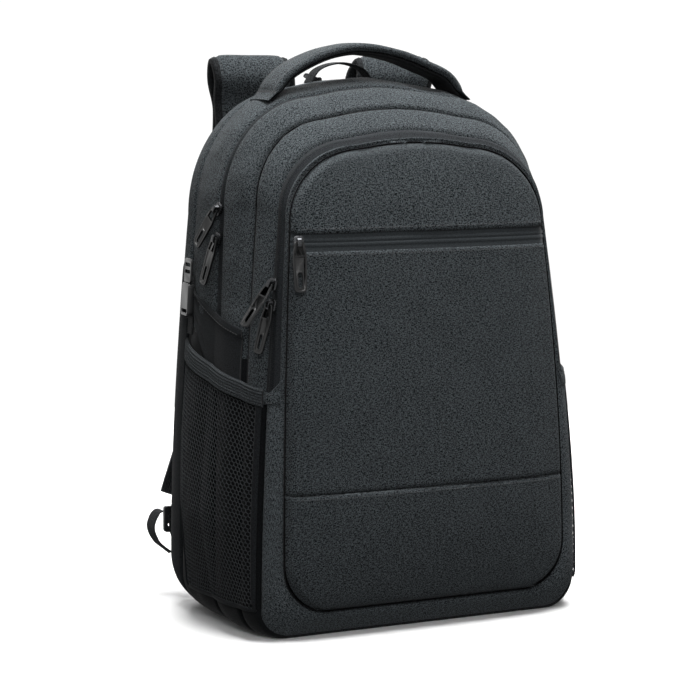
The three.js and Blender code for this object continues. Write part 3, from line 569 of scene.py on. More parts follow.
def thread_material():
    """Dull black polyester thread, with a fine twist on object coordinates."""
    material, tree, shader = new_material("sewing_thread")
    shader.inputs["Roughness"].default_value = 0.55
    place = tree.nodes.new("ShaderNodeTexCoord")
    twist = tree.nodes.new("ShaderNodeTexNoise")
    twist.inputs["Scale"].default_value = 3000
    tree.links.new(place.outputs["Object"], twist.inputs["Vector"])
    tint(tree, shader, twist.outputs["Fac"], THREAD_DARK, THREAD_LIGHT)
    return material


sewing_thread = thread_material()

# Seam shade.
# A near-black tube lies in the bottom of each seam, as painted shade that shows as a dark line in it.

SEAM_SHADE_WIDTH = 2.6


def add_seam_shade(name, depth, sunk):
    """A soft tube round the body, in the bottom of a seam, coloured near black as painted shade in the seam's
    groove.
    """
    station_count = 2 * len(outline_stations()) - 2
    spine = outline_at(np.array([depth - 0.5, depth + 0.5]) + np.zeros((station_count, 1)))
    outward = facing(spine, True)[:, 0]
    centre = spine.mean(axis=1) - outward * sunk
    turns = np.linspace(0, 2 * np.pi, 11)
    ring = outward[:, None] * np.cos(turns)[None, :, None]
    ring = ring + np.array([0.0, 1.0, 0.0]) * np.sin(turns)[None, :, None]
    piece = add_grid(name, centre[:, None] + ring * SEAM_SHADE_WIDTH / 2, closed=True)
    dress(piece, seam_painted_shade, "dark_cloth")


# Near-black colour of the seam tubes: painted shade.
seam_painted_shade = woven("seam_painted_shade", (0.0015, 0.0015, 0.002, 1), (0.005, 0.005, 0.006, 1), 0.8, mottle=0.1)
add_seam_shade("laptop_seam_shade", LAPTOP_SEAM_Y, 2.6)
add_seam_shade("front_seam_shade", FRONT_SEAM_Y, 2.6)
add_seam_shade("panel_seam_shade", PANEL_SEAM_Y + 0.4, 2.2)

# Long zips.
# Three coil zips run over the top of the bag and down its sides: round the laptop sleeve, the
# main compartment and the front compartment. Woven tape on both sides of the coil, a little
# below the cloth.

COIL_PITCH = 1.7
ZIP_TAIL = 9
ZIP_WALL = 0.9
MAIN_TAPE_REACH = 5.5
COIL_WIDTH = 6
TAPE_DARK = (0.006, 0.007, 0.008, 1)
TAPE_LIGHT = (0.026, 0.029, 0.032, 1)
tape_cloth = woven("zip_tape_cloth", TAPE_DARK, TAPE_LIGHT, 0.6, roughness=0.7, mottle=0.15)


def add_long_zip(name, node, rear, front, zip_end, sunk):
    """Tape with a ribbed coil along its middle, over the arch above a height."""
    rows = 12
    station_count = 2 * len(outline_stations()) - 2
    middle = (rear + front) / 2
    depths = np.full((station_count, 1), rear) + (front - rear) * np.linspace(0, 1, rows + 1)[None, :]
    points = outline_at(depths)
    points = points - facing(points, True) * sunk
    kept = points[points[:, rows // 2, 2] > zip_end - ZIP_TAIL]
    travel = lengths_along(kept, 0).mean(axis=1)
    steps = int(travel[-1] / COIL_PITCH * 5)
    fine = np.linspace(0, travel[-1], steps + 1)
    points = np.stack([np.stack([np.interp(fine, travel, kept[:, row, axis]) for axis in range(3)], axis=-1)
                       for row in range(rows + 1)], axis=1)
    across = (np.linspace(0, 1, rows + 1) - 0.5) * abs(front - rear)
    slant = np.abs(across) * 0.5
    phase = (fine[:, None] + slant[None, :]) / COIL_PITCH * 2 * np.pi
    on_coil = ramp(COIL_WIDTH / 2 - np.abs(across), -0.4, 0.8)[None, :]
    split_line = np.exp(-(across / 0.5) ** 2)[None, :]
    lift = on_coil * (0.7 + 0.5 * np.sin(phase)) - 0.7 * split_line
    points = points + facing(points, False) * lift[..., None]
    piece = add_grid(name, points)
    thicken(piece, ZIP_WALL)
    dress(piece, tape_cloth, "zip_tape", node)


add_long_zip("laptop_zip_tape", "laptop_zip",
             BACK_Y - 0.4, BACK_Y - LAPTOP_ZIP_WIDTH - 1, LAPTOP_ZIP_END, 1.6)
add_long_zip("main_zip_tape", "main_zip",
             MAIN_ZIP_Y + MAIN_TAPE_REACH, MAIN_ZIP_Y - MAIN_TAPE_REACH, MAIN_ZIP_END, 1.8)
add_long_zip("front_zip_tape", "front_zip",
             EDGE_SEAM_Y + 1, EDGE_SEAM_Y - FRONT_ZIP_WIDTH - 1, FRONT_ZIP_END, 1.4)

# Front panel.
# Three pieces of heathered cloth over thin foam fill the front. They bow forward, roll in at
# the seam with the border, and meet at a flat cross seam low down. A coated zip lies between
# the upper two, under the edge of the top piece.

PANEL_INSET = 0.8
PANEL_DOME = 10
PANEL_THICKNESS = 4
PANEL_WALL = 2.4
CROSS_SEAM = 123
PANEL_ZIP_BOTTOM = 323
PANEL_ZIP_TOP = 338
COATED_DARK = (0.026, 0.030, 0.033, 1)
COATED_LIGHT = (0.042, 0.048, 0.052, 1)
panel_section = section_at(np.array(float(PANEL_SEAM_Y)), PANEL_INSET)
PANEL_FOOT = float(panel_section["lift"])
PANEL_TOP = float(panel_section["top"] - panel_section["crown"] * 0.02)


def panel_outline():
    """The panel's edge, as points across and up."""
    heights = np.concatenate([np.linspace(PANEL_FOOT, PANEL_TOP - 12, 260),
                              np.linspace(PANEL_TOP - 12, PANEL_TOP, 90)])
    wide = width_at(panel_section, heights)
    right = np.stack([wide, heights], axis=-1)
    left = np.stack([-wide, heights], axis=-1)
    foot = np.stack([np.linspace(-wide[0], wide[0], 120), np.full(120, PANEL_FOOT)], axis=-1)
    top = np.stack([np.linspace(-wide[-1], wide[-1], 60), np.full(60, PANEL_TOP)], axis=-1)
    return np.concatenate([right, left, foot, top])


def edge_distance(across, height):
    """Distance of each point of the panel from its outer edge."""
    edge = panel_outline()
    spots = np.stack([across, height], axis=-1).reshape(-1, 2)
    nearest = np.empty(len(spots))
    for start in range(0, len(spots), 4000):
        part = spots[start:start + 4000]
        nearest[start:start + 4000] = np.sqrt(((part[:, None] - edge[None]) ** 2).sum(-1)).min(axis=1)
    return nearest.reshape(across.shape)


def panel_depth(across, height):
    middle = (PANEL_FOOT + PANEL_TOP) / 2
    up = (height - middle) / (PANEL_TOP - middle)
    out = across / np.maximum(width_at(panel_section, height), 1)
    dome = PANEL_DOME * (1 - out ** 4) * (1 - up ** 6)
    return PANEL_SEAM_Y - 0.4 - PANEL_THICKNESS - dome + lean_at(panel_section, height)


def panel_grid(low, high, row_length=2.2):
    rows = max(2, int((high - low) / row_length))
    heights = np.linspace(low, high, rows + 1)
    if high == PANEL_TOP:
        heights = high - (high - low) * (1 - np.linspace(0, 1, rows + 1)) ** 1.5
    shares = np.sin(np.linspace(-1, 1, 121) * np.pi / 2 * 0.8) / np.sin(np.pi / 2 * 0.8)
    across = shares[:, None] * width_at(panel_section, heights)[None, :]
    return across, np.broadcast_to(heights[None, :], across.shape).copy()


def add_panel_piece(name, node, low, high, seed, low_roll, high_roll):
    """One piece of the panel. The rolls say how far its lower and upper edges turn in."""
    across, height = panel_grid(low, high)
    depth = panel_depth(across, height)
    from_edge = edge_distance(across, height)
    inner = ramp(from_edge, 0, 30)
    depth = depth + 6.4 * np.exp(-(from_edge / 2.5) ** 2)
    depth = depth + low_roll * np.exp(-((height - low) / 1.6) ** 2)
    depth = depth + high_roll * np.exp(-((high - height) / 1.1) ** 2)
    points = np.stack([across, depth, height], axis=-1)
    points[..., 1] += inner * 1.0 * folds(points * np.array([1, 0, 0.7]), 70, seed)
    points[..., 1] += inner * 0.35 * folds(points, 22, seed + 1)
    piece = add_grid(name, points)
    thicken(piece, PANEL_WALL)
    dress(piece, heather, "heather", node)
    return piece


def panel_row(height):
    """A straight row across the panel, short of its rolled edges."""
    across = np.linspace(-1, 1, 80) * (width_at(panel_section, height) - 5)
    level = np.full(80, float(height))
    return np.stack([across, panel_depth(across, level), level], axis=-1)


base_cloth = add_panel_piece("panel_base_cloth", "panel_base", PANEL_FOOT, CROSS_SEAM, 11, 0, 1.6)
lower_cloth = add_panel_piece("panel_lower_cloth", "panel_lower", CROSS_SEAM, PANEL_ZIP_BOTTOM, 12, 1.2, 0.9)
upper_cloth = add_panel_piece("panel_upper_cloth", "panel_upper", PANEL_ZIP_TOP, PANEL_TOP, 13, -0.8, 0)
add_stitches("stitches_cross_seam", base_cloth, panel_row(CROSS_SEAM - 3.5))
add_stitches("stitches_under_zip", lower_cloth, panel_row(PANEL_ZIP_BOTTOM - 3))
add_stitches("stitches_over_zip", upper_cloth, panel_row(PANEL_ZIP_TOP + 3.5))


def add_panel_zip():
    across, height = panel_grid(PANEL_ZIP_BOTTOM - 2, PANEL_ZIP_TOP + 3, 0.7)
    middle = (PANEL_ZIP_BOTTOM + PANEL_ZIP_TOP) / 2
    depth = panel_depth(across, height) + 1.6 + 4 * np.exp(-(edge_distance(across, height) / 4.2) ** 2)
    depth = depth - 0.7 * ramp(4.2 - np.abs(height - middle), 0, 1.6)
    depth = depth + 0.9 * np.exp(-((height - middle) / 0.5) ** 2)
    piece = add_grid("panel_zip_tape", np.stack([across, depth, height], axis=-1))
    thicken(piece, ZIP_WALL)
    coated = woven("coated_zip_tape", COATED_DARK, COATED_LIGHT, 0.8, roughness=0.42, mottle=0.1, relief=0.08)
    dress(piece, coated, "zip_tape", "panel_zip")


add_panel_zip()

# Back of the bag.
# A padded plate of plain cloth covers the wearer's side, sewn to the laptop band all round.
# Two long pads and a low one of spacer mesh are quilted on to it, with sewn channels across.

BACK_THICKNESS = 9
PAD_THICKNESS = 8
BACK_WALL = 2
PAD_WALL = 1.2
PAD_Y = BACK_Y + BACK_THICKNESS + 0.4
back_section = section_at(np.array(float(BACK_Y)), 3)
BACK_FOOT = float(back_section["lift"])
BACK_TOP = float(back_section["top"] - back_section["crown"] * 0.02)


def add_back_cloth():
    rows = 170
    heights = BACK_TOP - (BACK_TOP - BACK_FOOT) * (1 - np.linspace(0, 1, rows + 1)) ** 1.25
    shares = np.sin(np.linspace(-1, 1, 91) * 1.35) / np.sin(1.35)
    across = shares[:, None] * width_at(back_section, heights)[None, :]
    height = np.broadcast_to(heights[None, :], across.shape)
    from_side = (1 - np.abs(shares))[:, None] * width_at(back_section, heights)[None, :]
    from_end = np.minimum(height - BACK_FOOT, BACK_TOP - height)
    from_edge = np.minimum(from_side, from_end)
    depth = BACK_Y + BACK_THICKNESS - 8.4 * np.exp(-from_edge / 4.5) - 1.2 * ramp(np.abs(across), 30, 4)
    points = np.stack([across, depth, height], axis=-1)
    points[..., 1] += 0.7 * ramp(from_edge, 4, 30) * folds(points, 45, 21)
    piece = add_grid("back_cloth", points)
    thicken(piece, BACK_WALL)
    dress(piece, plain, "dark_cloth", "back_panel")


def mesh_cloth(name, dark, light, cell):
    """Spacer mesh: small round holes in a grid, on the piece's UV map in metres. The holes are coloured near
    black, as painted shade in their depth.
    """
    material = woven(name, dark, light, 0.9, roughness=0.85, mottle=0.1, relief=0.1)
    tree = material.node_tree
    nodes, links = tree.nodes, tree.links
    shader = nodes["Principled BSDF"]
    place = nodes.new("ShaderNodeUVMap")
    place.uv_map = "UVMap"
    holes = nodes.new("ShaderNodeTexVoronoi")
    holes.voronoi_dimensions = "2D"
    holes.inputs["Scale"].default_value = 1000 / cell
    holes.inputs["Randomness"].default_value = 0.12
    links.new(place.outputs["UV"], holes.inputs["Vector"])
    open_part = nodes.new("ShaderNodeMapRange")
    open_part.inputs["From Min"].default_value = 0.22
    open_part.inputs["From Max"].default_value = 0.34
    links.new(holes.outputs["Distance"], open_part.inputs["Value"])
    # The holes take a near-black colour: painted shade in their depth.
    shade = nodes.new("ShaderNodeMix")
    shade.data_type = "RGBA"
    shade.inputs[6].default_value = (0.004, 0.004, 0.005, 1)
    links.new(open_part.outputs["Result"], shade.inputs[0])
    links.new(shader.inputs["Base Color"].links[0].from_socket, shade.inputs[7])
    links.new(shade.outputs[2], shader.inputs["Base Color"])
    add_bump(tree, shader, open_part.outputs["Result"], 0.6, 0.0008)
    return material


spacer_mesh = mesh_cloth("spacer_mesh", (0.008, 0.009, 0.010, 1), (0.028, 0.030, 0.032, 1), 3.2)


def add_pad(name, node, width, height, middle_x, middle_z, channels):
    """A crowned pad, pulled in at its corners and at sewn channels across it."""
    across = np.sin(np.linspace(-1, 1, 49) * 1.4) / np.sin(1.4)
    up = np.sin(np.linspace(-1, 1, 111) * 1.4) / np.sin(1.4)
    across, up = np.meshgrid(across, up, indexing="ij")
    narrow = 1 - 0.1 * up ** 8
    x = middle_x + across * narrow * width / 2
    z = middle_z + up * height / 2 * (1 - 0.03 * across ** 8)
    edge = np.minimum((1 - np.abs(across)) * width / 2, (1 - np.abs(up)) * height / 2)
    crown = PAD_THICKNESS * (1 - np.exp(-edge / 5)) * (1 - 0.12 * across ** 2)
    for channel in channels:
        crown = crown - 4.2 * np.exp(-((z - middle_z - channel) / 2.4) ** 2) * ramp(edge, 0, 6)
    crown = crown + 0.5 * ramp(edge, 2, 12) * folds(np.stack([x, z, z * 0], axis=-1), 26, 31)
    front = np.stack([x, PAD_Y + crown, z], axis=-1)
    piece = add_grid(name, front)
    thicken(piece, PAD_WALL)
    dress(piece, spacer_mesh, "air_mesh", node)


add_back_cloth()
add_pad("back_pad_left_mesh", "back_pad_left", 98, 250, -62, 273, (-62, 0, 62))
add_pad("back_pad_right_mesh", "back_pad_right", 98, 250, 62, 273, (-62, 0, 62))
add_pad("lumbar_pad_mesh", "lumbar_pad", 222, 86, 0, 92, (0,))

# Net side pockets.
# Black knitted net, open in hexagons, hangs from a ribbed elastic edge on both sides of the
# bag. Its other edges are sewn under narrow dark tape.

POCKET_BULGE = 14
POCKET_BOTTOM = 24
POCKET_TOP_REAR = 241
POCKET_TOP_FRONT = 210
POCKET_REAR_TOP = LAPTOP_SEAM_Y - 3
POCKET_REAR_BOTTOM = LAPTOP_SEAM_Y - 21
POCKET_FRONT = EDGE_SEAM_Y + 1
ELASTIC_HEIGHT = 14
SIDE_GAP = 1.2
NET_LENGTH = 128
NET_HEIGHT = 196
NET_PITCH = 4.1
NET_HOLE = 0.83
NET_THREAD = 0.45
# Share of the pocket's height below the elastic, which the net fills.
NET_SHARE = 1 - ELASTIC_HEIGHT / (POCKET_TOP_FRONT - POCKET_BOTTOM)
POCKET_TAPE_WIDTH = 3.6
SIDES = (("left", True), ("right", False))


def on_side(depth, height, off):
    """Points on the right side of the body, held off it by a distance."""
    section = section_at(depth)
    return np.stack([width_at(section, height) + off, depth + lean_at(section, height), height], axis=-1)


def pocket_point(along, up, off):
    top = POCKET_TOP_REAR + (POCKET_TOP_FRONT - POCKET_TOP_REAR) * along
    height = POCKET_BOTTOM + (top - POCKET_BOTTOM) * up
    rear = POCKET_REAR_BOTTOM + (POCKET_REAR_TOP - POCKET_REAR_BOTTOM) * np.minimum(up * 1.6, 1)
    depth = rear + (POCKET_FRONT - rear) * along
    belly = np.sin(np.pi * np.clip(along, 0, 1) ** 0.7) * np.minimum(1, 2.7 * up) * (1 - 0.75 * up ** 2)
    tucked = 1 - 0.7 * np.exp(-(up / 0.02) ** 2)
    return on_side(depth, height, (SIDE_GAP + off) * tucked + POCKET_BULGE * belly)


def net_sheet(length, height):
    """Hexagonal net laid flat: points and faces, four sides to each length of thread."""
    radius = NET_PITCH / math.sqrt(3)
    angles = np.radians(np.arange(6) * 60 + 30)
    ring = np.stack([np.cos(angles), np.sin(angles)], axis=-1) * radius
    points, faces, known = [], [], {}

    def point(x, y):
        key = (round(x * 50), round(y * 50))
        if key not in known:
            known[key] = len(points)
            points.append((x, y))
        return known[key]

    rows = int(height / (1.5 * radius)) + 1
    columns = int(length / NET_PITCH) + 1
    for row in range(rows):
        for column in range(columns):
            x = (column + 0.5 * (row % 2)) * NET_PITCH
            y = row * 1.5 * radius
            if not (radius < x < length - radius and radius < y < height - radius):
                continue
            outer = [point(x + a, y + b) for a, b in ring]
            inner = [point(x + a * NET_HOLE, y + b * NET_HOLE) for a, b in ring]
            for i in range(6):
                j = (i + 1) % 6
                faces.append((outer[i], outer[j], inner[j], inner[i]))
    return np.array(points), faces


def add_net(side, mirrored):
    flat_points, faces = net_sheet(NET_LENGTH, NET_HEIGHT)
    along, up = flat_points[:, 0] / NET_LENGTH, flat_points[:, 1] / NET_HEIGHT * NET_SHARE
    points = pocket_point(along, up, 1.0)
    points[:, 0] += 0.9 * folds(points * np.array([0, 1, 0.35]), 22, 41) * np.sin(np.pi * along)
    if mirrored:
        points[:, 0] *= -1
    else:
        faces = [face[::-1] for face in faces]
    corners = flat_points[np.array(faces).ravel()] * MM
    piece = add_object(f"net_{side}", (points * MM).tolist(), faces, corners)
    thicken(piece, NET_THREAD)
    dress(piece, net_yarn, "net", f"net_pocket_{side}")


def add_strip(name, points, thickness, mirrored):
    """A flat tube with rounded long edges, round a grid of points and capped at both ends."""
    outward = facing(points, False)
    share = np.linspace(-1, 1, points.shape[1])
    half = thickness / 2 * (1 - 0.85 * np.abs(share) ** 8)[None, :, None]
    top = points + outward * half
    under = points - outward * half
    section = np.concatenate([top, under[:, ::-1]], axis=1).transpose(1, 0, 2)
    return add_grid(name, section, closed=True, mirrored=mirrored, capped=True)


def add_elastic(side, mirrored):
    along, up = np.meshgrid(np.linspace(0, 1, 161), np.linspace(NET_SHARE - 0.004, 1, 25), indexing="ij")
    ribs = 0.5 * np.cos(up * (POCKET_TOP_FRONT - POCKET_BOTTOM) * 2 * np.pi / 2.3)
    gather = 0.25 * np.sin(along * 2 * np.pi * 46) * ramp(up, 1, 0.95)
    points = pocket_point(along, up, 0.8 + ribs + gather)
    piece = add_strip(f"elastic_{side}", points, 2.2, mirrored)
    dress(piece, elastic_yarn, "elastic", f"pocket_elastic_{side}")


def add_pocket_tape(side, mirrored):
    """Tape over the net's sewn edges: down the rear, along the bottom and up the front."""
    edge = [(0.006, up) for up in np.linspace(NET_SHARE, 0.02, 60)]
    edge += [(along, 0.008) for along in np.linspace(0.014, 0.986, 50)]
    edge += [(0.994, up) for up in np.linspace(0.02, NET_SHARE, 60)]
    edge = np.array(edge)
    inward = np.zeros_like(edge)
    inward[:60, 0], inward[60:110, 1], inward[110:, 0] = 1, 1, -1
    inward = np.stack([np.convolve(np.pad(inward[:, i], 4, mode="edge"), np.ones(9) / 9, "valid")
                       for i in range(2)], axis=-1)
    steps = np.linspace(-0.2, 1, 7)[None, :, None] * POCKET_TAPE_WIDTH / np.array([NET_LENGTH, 200])
    spots = edge[:, None, :] + inward[:, None, :] * steps
    points = pocket_point(spots[..., 0], spots[..., 1], 1.5)
    dress(add_strip(f"pocket_tape_{side}", points, 1.6, mirrored), plain, "dark_cloth")


net_yarn = woven("net_yarn", (0.014, 0.0155, 0.017, 1), (0.055, 0.060, 0.064, 1), 0.5, mottle=0.2)
elastic_yarn = woven("elastic_yarn", (0.012, 0.0135, 0.015, 1), (0.062, 0.069, 0.074, 1), 0.6, mottle=0.15)
for side, mirrored in SIDES:
    add_net(side, mirrored)
    add_elastic(side, mirrored)
    add_pocket_tape(side, mirrored)

# Compression wings, webbing and zip stops.
# A stiff flap of plain cloth with a bound top edge runs back from the front seam on each side
# and narrows to the webbing, which goes up into the buckle's lock.

WING_REAR_Y = 39
WING_FRONT_Y = FRONT_SEAM_Y + 3
WING_TOP_REAR = 284
WING_TOP_FRONT = 257
WING_TIP_HEIGHT = 24
WING_BOTTOM = 204
WEB_WIDTH = 18
WEB_THICKNESS = 1.6
WEB_GAP = 0.7
BUCKLE_Y = 52
BUCKLE_BOTTOM = 261
BUCKLE_LENGTH = 28
webbing_weave = woven("webbing_weave", (0.005, 0.0055, 0.006, 1), (0.018, 0.0195, 0.021, 1), 1.3,
                      roughness=0.75, mottle=0.1, relief=0.5)


def wing_spot(share, across):
    top = WING_TOP_REAR + (WING_TOP_FRONT - WING_TOP_REAR) * share
    low_rear = WING_TOP_REAR - WING_TIP_HEIGHT
    bottom = low_rear + (WING_BOTTOM - low_rear) * np.minimum(1, share / 0.55)
    return WING_REAR_Y + (WING_FRONT_Y - WING_REAR_Y) * share, bottom + (top - bottom) * across


def add_wing(side, mirrored):
    share, across = np.meshgrid(np.linspace(0, 1, 81), np.linspace(0, 1, 41), indexing="ij")
    depth, height = wing_spot(share, across)
    from_top = (1 - across) * 40
    pull = 0.5 * np.sin(across * 13 + 1.5) * ramp(share, 0.9, 0.1) * ramp(share, 0, 0.1)
    binding = 1.1 * ramp(from_top, 5.4, 4.6) - 0.7 * np.exp(-((from_top - 5.6) / 0.6) ** 2)
    off = SIDE_GAP + 0.75 + pull + binding + 0.5 * folds(np.stack([depth, height, share], axis=-1), 24, 51)
    piece = add_strip(f"wing_{side}", on_side(depth, height, np.maximum(off, 0.9)), 1.5, mirrored)
    dress(piece, plain, "dark_cloth", f"side_wing_{side}")
    share = np.linspace(0.02, 0.98, 60)
    depth, height = wing_spot(share, np.full(60, 1 - 4.2 / 40))
    add_stitches(f"stitches_wing_{side}", piece, on_side(depth, height, SIDE_GAP + 2), mirrored)


def add_side_web(name, node, depth, height, off, mirrored):
    ribs = 0.12 * np.cos(np.linspace(0, 1, depth.shape[1]) * 2 * np.pi * 6)[None, :]
    piece = add_strip(name, on_side(depth, height, off + ribs), WEB_THICKNESS, mirrored)
    dress(piece, webbing_weave, "webbing", node)


def add_side_webs(side, mirrored):
    share, across = np.meshgrid(np.linspace(0, 1, 31), np.linspace(0, 1, 25), indexing="ij")
    add_side_web(f"anchor_web_{side}", f"buckle_webbing_{side}",
                 BUCKLE_Y + (across - 0.5) * WEB_WIDTH,
                 BUCKLE_BOTTOM - 16 + 21 * share, WEB_GAP + 0.8, mirrored)
    lock_foot = BUCKLE_BOTTOM + BUCKLE_LENGTH
    depth = WING_REAR_Y + 0.4 + (BUCKLE_Y + 4 - WING_REAR_Y) * share + (across - 0.5) * 8 * share
    low = WING_TOP_REAR - WING_TIP_HEIGHT * 0.9
    height = low + (lock_foot - 8 - low) * share + across * (20.4 + (WEB_WIDTH - 20.4) * share)
    add_side_web(f"wing_web_{side}", f"wing_webbing_{side}", depth, height, WEB_GAP + 0.8, mirrored)


def add_zip_stop(side, mirrored):
    share, across = np.meshgrid(np.linspace(0, 1, 25), np.linspace(0, 1, 15), indexing="ij")
    depth = EDGE_SEAM_Y - 1 + (PANEL_SEAM_Y + 2.5 - EDGE_SEAM_Y) * share
    height = FRONT_ZIP_END - 11 + across * 10
    groove = -0.35 * (np.exp(-((across - 0.16) / 0.05) ** 2) + np.exp(-((across - 0.84) / 0.05) ** 2))
    piece = add_strip(f"zip_end_tab_{side}", on_side(depth, height, 2.3 + groove), 1.4, mirrored)
    dress(piece, heather, "dark_cloth", f"zip_stop_{side}")
    for level, level_name in ((0.16, "low"), (0.84, "high")):
        reach = np.linspace(EDGE_SEAM_Y - 2, PANEL_SEAM_Y + 3.5, 12)
        row = on_side(reach, np.full(12, FRONT_ZIP_END - 11 + level * 10), 3.2)
        add_stitches(f"stitches_zip_end_{side}_{level_name}", piece, row, mirrored)


for side, mirrored in SIDES:
    add_wing(side, mirrored)
    add_side_webs(side, mirrored)
    add_zip_stop(side, mirrored)

# Carry handle.
# A padded roll of heathered cloth arches over the top of the rear band, with a dark lining
# under it. Both ends are sewn down, with two rows of stitches across each.

HANDLE_SPAN = 180
HANDLE_RISE = 30
HANDLE_WIDTH = 38
HANDLE_THICKNESS = 8
LINING_THICKNESS = 3
LINING_INSET = 6
HANDLE_Y = 35
HANDLE_SAG = 3
HANDLE_TONGUE = 9
FRONT_TO_BACK = (0.0, 1.0, 0.0)
LEFT_TO_RIGHT = (1.0, 0.0, 0.0)


def smooth_path(stops, steps=14):
    """A centripetal Catmull-Rom curve through a list of stops, in millimetres."""
    stops = np.array(stops, dtype=float)
    stops = np.concatenate([[2 * stops[0] - stops[1]], stops, [2 * stops[-1] - stops[-2]]])
    path = []
    for i in range(len(stops) - 3):
        p0, p1, p2, p3 = stops[i:i + 4]
        t0 = 0
        t1 = t0 + np.linalg.norm(p1 - p0) ** 0.5
        t2 = t1 + np.linalg.norm(p2 - p1) ** 0.5
        t3 = t2 + np.linalg.norm(p3 - p2) ** 0.5
        for t in np.linspace(t1, t2, steps, endpoint=False):
            a = p0 + (p1 - p0) * (t - t0) / (t1 - t0)
            b = p1 + (p2 - p1) * (t - t1) / (t2 - t1)
            c = p2 + (p3 - p2) * (t - t2) / (t3 - t2)
            d = a + (b - a) * (t - t0) / (t2 - t0)
            e = b + (c - b) * (t - t1) / (t3 - t1)
            path.append(d + (e - d) * (t - t1) / (t2 - t1))
    return np.array(path + [stops[-2]])


def strip_frame(path, across):
    """Directions across and out of a strip at each point of its path."""
    across = np.array(across)
    along = np.gradient(path, axis=0)
    along /= np.linalg.norm(along, axis=1, keepdims=True)
    sideways = across - along * np.sum(across * along, axis=1, keepdims=True)
    sideways /= np.linalg.norm(sideways, axis=1, keepdims=True)
    return sideways, np.cross(along, sideways)


def strip_points(path, across, widths, shares, heights):
    """A closed section carried along a path: shares of half the width, and heights off it."""
    sideways, out = strip_frame(path, across)
    half = (np.broadcast_to(widths, (len(path),)) / 2)[None, :, None]
    return path[None] + sideways[None] * shares[:, None, None] * half + out[None] * heights[..., None]


def handle_foot(across):
    """Height of the rear band's arch under the handle."""
    section = section_at(np.array(float(HANDLE_Y)))
    rise = min(float((section["shoulder"] - across) / section["arch_x"]), 1)
    drop = math.sqrt(1 - (1 - rise) ** 2)
    return float(section["top"] - section["crown"] - section["arch_z"] * (1 - drop))


def handle_stops(sink):
    """Stops of the handle's middle line from its left end to its right, lowered by a distance."""
    half = HANDLE_SPAN / 2
    foot = handle_foot(half) + 3.8
    end = half + HANDLE_TONGUE
    stops = []
    for sign in (-1, 1):
        sag = HANDLE_SAG if sign > 0 else 0
        leg = [(end - sink, handle_foot(end) + 0.6),
               (half + 1 - sink, foot - 0.5),
               (half * 0.89 - sink, foot + HANDLE_RISE * 0.42 - sink * 0.4),
               (half * 0.67 - sink * 0.7, foot + HANDLE_RISE * 0.84 - sink * 0.8 - sag),
               (half * 0.36, foot + HANDLE_RISE * 1.17 - sink - sag)]
        leg = [(sign * x, HANDLE_Y, z) for x, z in leg]
        stops += leg if sign < 0 else leg[::-1]
        if sign < 0:
            stops.append((-4, HANDLE_Y, foot + HANDLE_RISE * 1.27 - sink))
    return stops


def add_handle():
    path = smooth_path(handle_stops(0))
    angles = np.linspace(0, 2 * np.pi, 48, endpoint=False)
    shares = np.sign(np.cos(angles)) * np.abs(np.cos(angles)) ** 0.62
    lifts = np.sign(np.sin(angles)) * np.abs(np.sin(angles)) ** 0.8 * HANDLE_THICKNESS / 2
    lifts = lifts + 0.7 * np.exp(-((np.abs(shares) - 0.9) / 0.06) ** 2) * np.sign(lifts)
    lifts = lifts - 0.8 * np.exp(-((np.abs(shares) - 0.76) / 0.035) ** 2) * np.sign(lifts)
    travel = lengths_along(path[:, None], 0)[:, 0]
    from_end = np.minimum(travel, travel[-1] - travel)
    fullness = 0.3 + 0.7 * ramp(from_end, HANDLE_TONGUE - 4, HANDLE_TONGUE + 9)
    fullness = fullness - 0.14 * np.exp(-((from_end - HANDLE_TONGUE - 1) / 1.3) ** 2)
    points = strip_points(path, FRONT_TO_BACK, HANDLE_WIDTH, shares, lifts[:, None] * fullness[None, :])
    points = points + 0.35 * folds(points, 16, 61)[..., None] * facing(points, True)
    piece = add_grid("handle_roll", points, closed=True, capped=True)
    dress(piece, heather, "heather", "carry_handle")
    for number, row in enumerate(np.flatnonzero((np.abs(np.abs(shares) - 0.76) < 0.06) & (lifts > 0))):
        add_stitches(f"stitches_handle_{number}", piece, points[row, 6:-6])
    for number, column in enumerate(np.flatnonzero(np.abs(from_end - HANDLE_TONGUE - 1) < 1.2)):
        top_rows = np.flatnonzero(lifts > 0.5)
        add_stitches(f"stitches_handle_foot_{number}", piece, points[top_rows, column])

    inner = smooth_path(handle_stops((HANDLE_THICKNESS + LINING_THICKNESS) / 2 - 0.4))
    shares = np.concatenate([np.linspace(-1, 1, 17), np.linspace(1, -1, 17)])
    rounded = 1 - 0.7 * np.abs(shares) ** 8
    lifts = np.concatenate([np.ones(17), -np.ones(17)]) * LINING_THICKNESS / 2 * rounded
    points = strip_points(inner, FRONT_TO_BACK, HANDLE_WIDTH - LINING_INSET, shares, lifts[:, None])
    lining = add_grid("handle_underside", points, closed=True, capped=True)
    dress(lining, black_lining, "lining", "handle_lining")


black_lining = woven("black_lining", (0.006, 0.006, 0.007, 1), (0.016, 0.017, 0.018, 1), 0.8, mottle=0.1)
add_handle()

# Hang loop.
# A short loop of black webbing behind the handle, to hang the bag on a hook.

LOOP_SPAN = 62
LOOP_RISE = 15
LOOP_WIDTH = 16
LOOP_Y = BACK_Y - 16


def web_section(thickness, ribs=6, depth=0.12):
    """Section of a flat woven strap: shares of half its width, and heights off the middle."""
    line = np.linspace(-1, 1, 33)
    face = thickness / 2 * (1 - 0.7 * np.abs(line) ** 10) + depth * np.cos(line * np.pi * ribs)
    return np.concatenate([line, line[::-1]]), np.concatenate([face, -face[::-1]])


def add_web(name, node, path, across, widths, mirrored=False):
    shares, lifts = web_section(WEB_THICKNESS)
    points = strip_points(path, across, widths, shares, lifts[:, None])
    piece = add_grid(name, points, closed=True, mirrored=mirrored, capped=True)
    dress(piece, webbing_weave, "webbing", node)


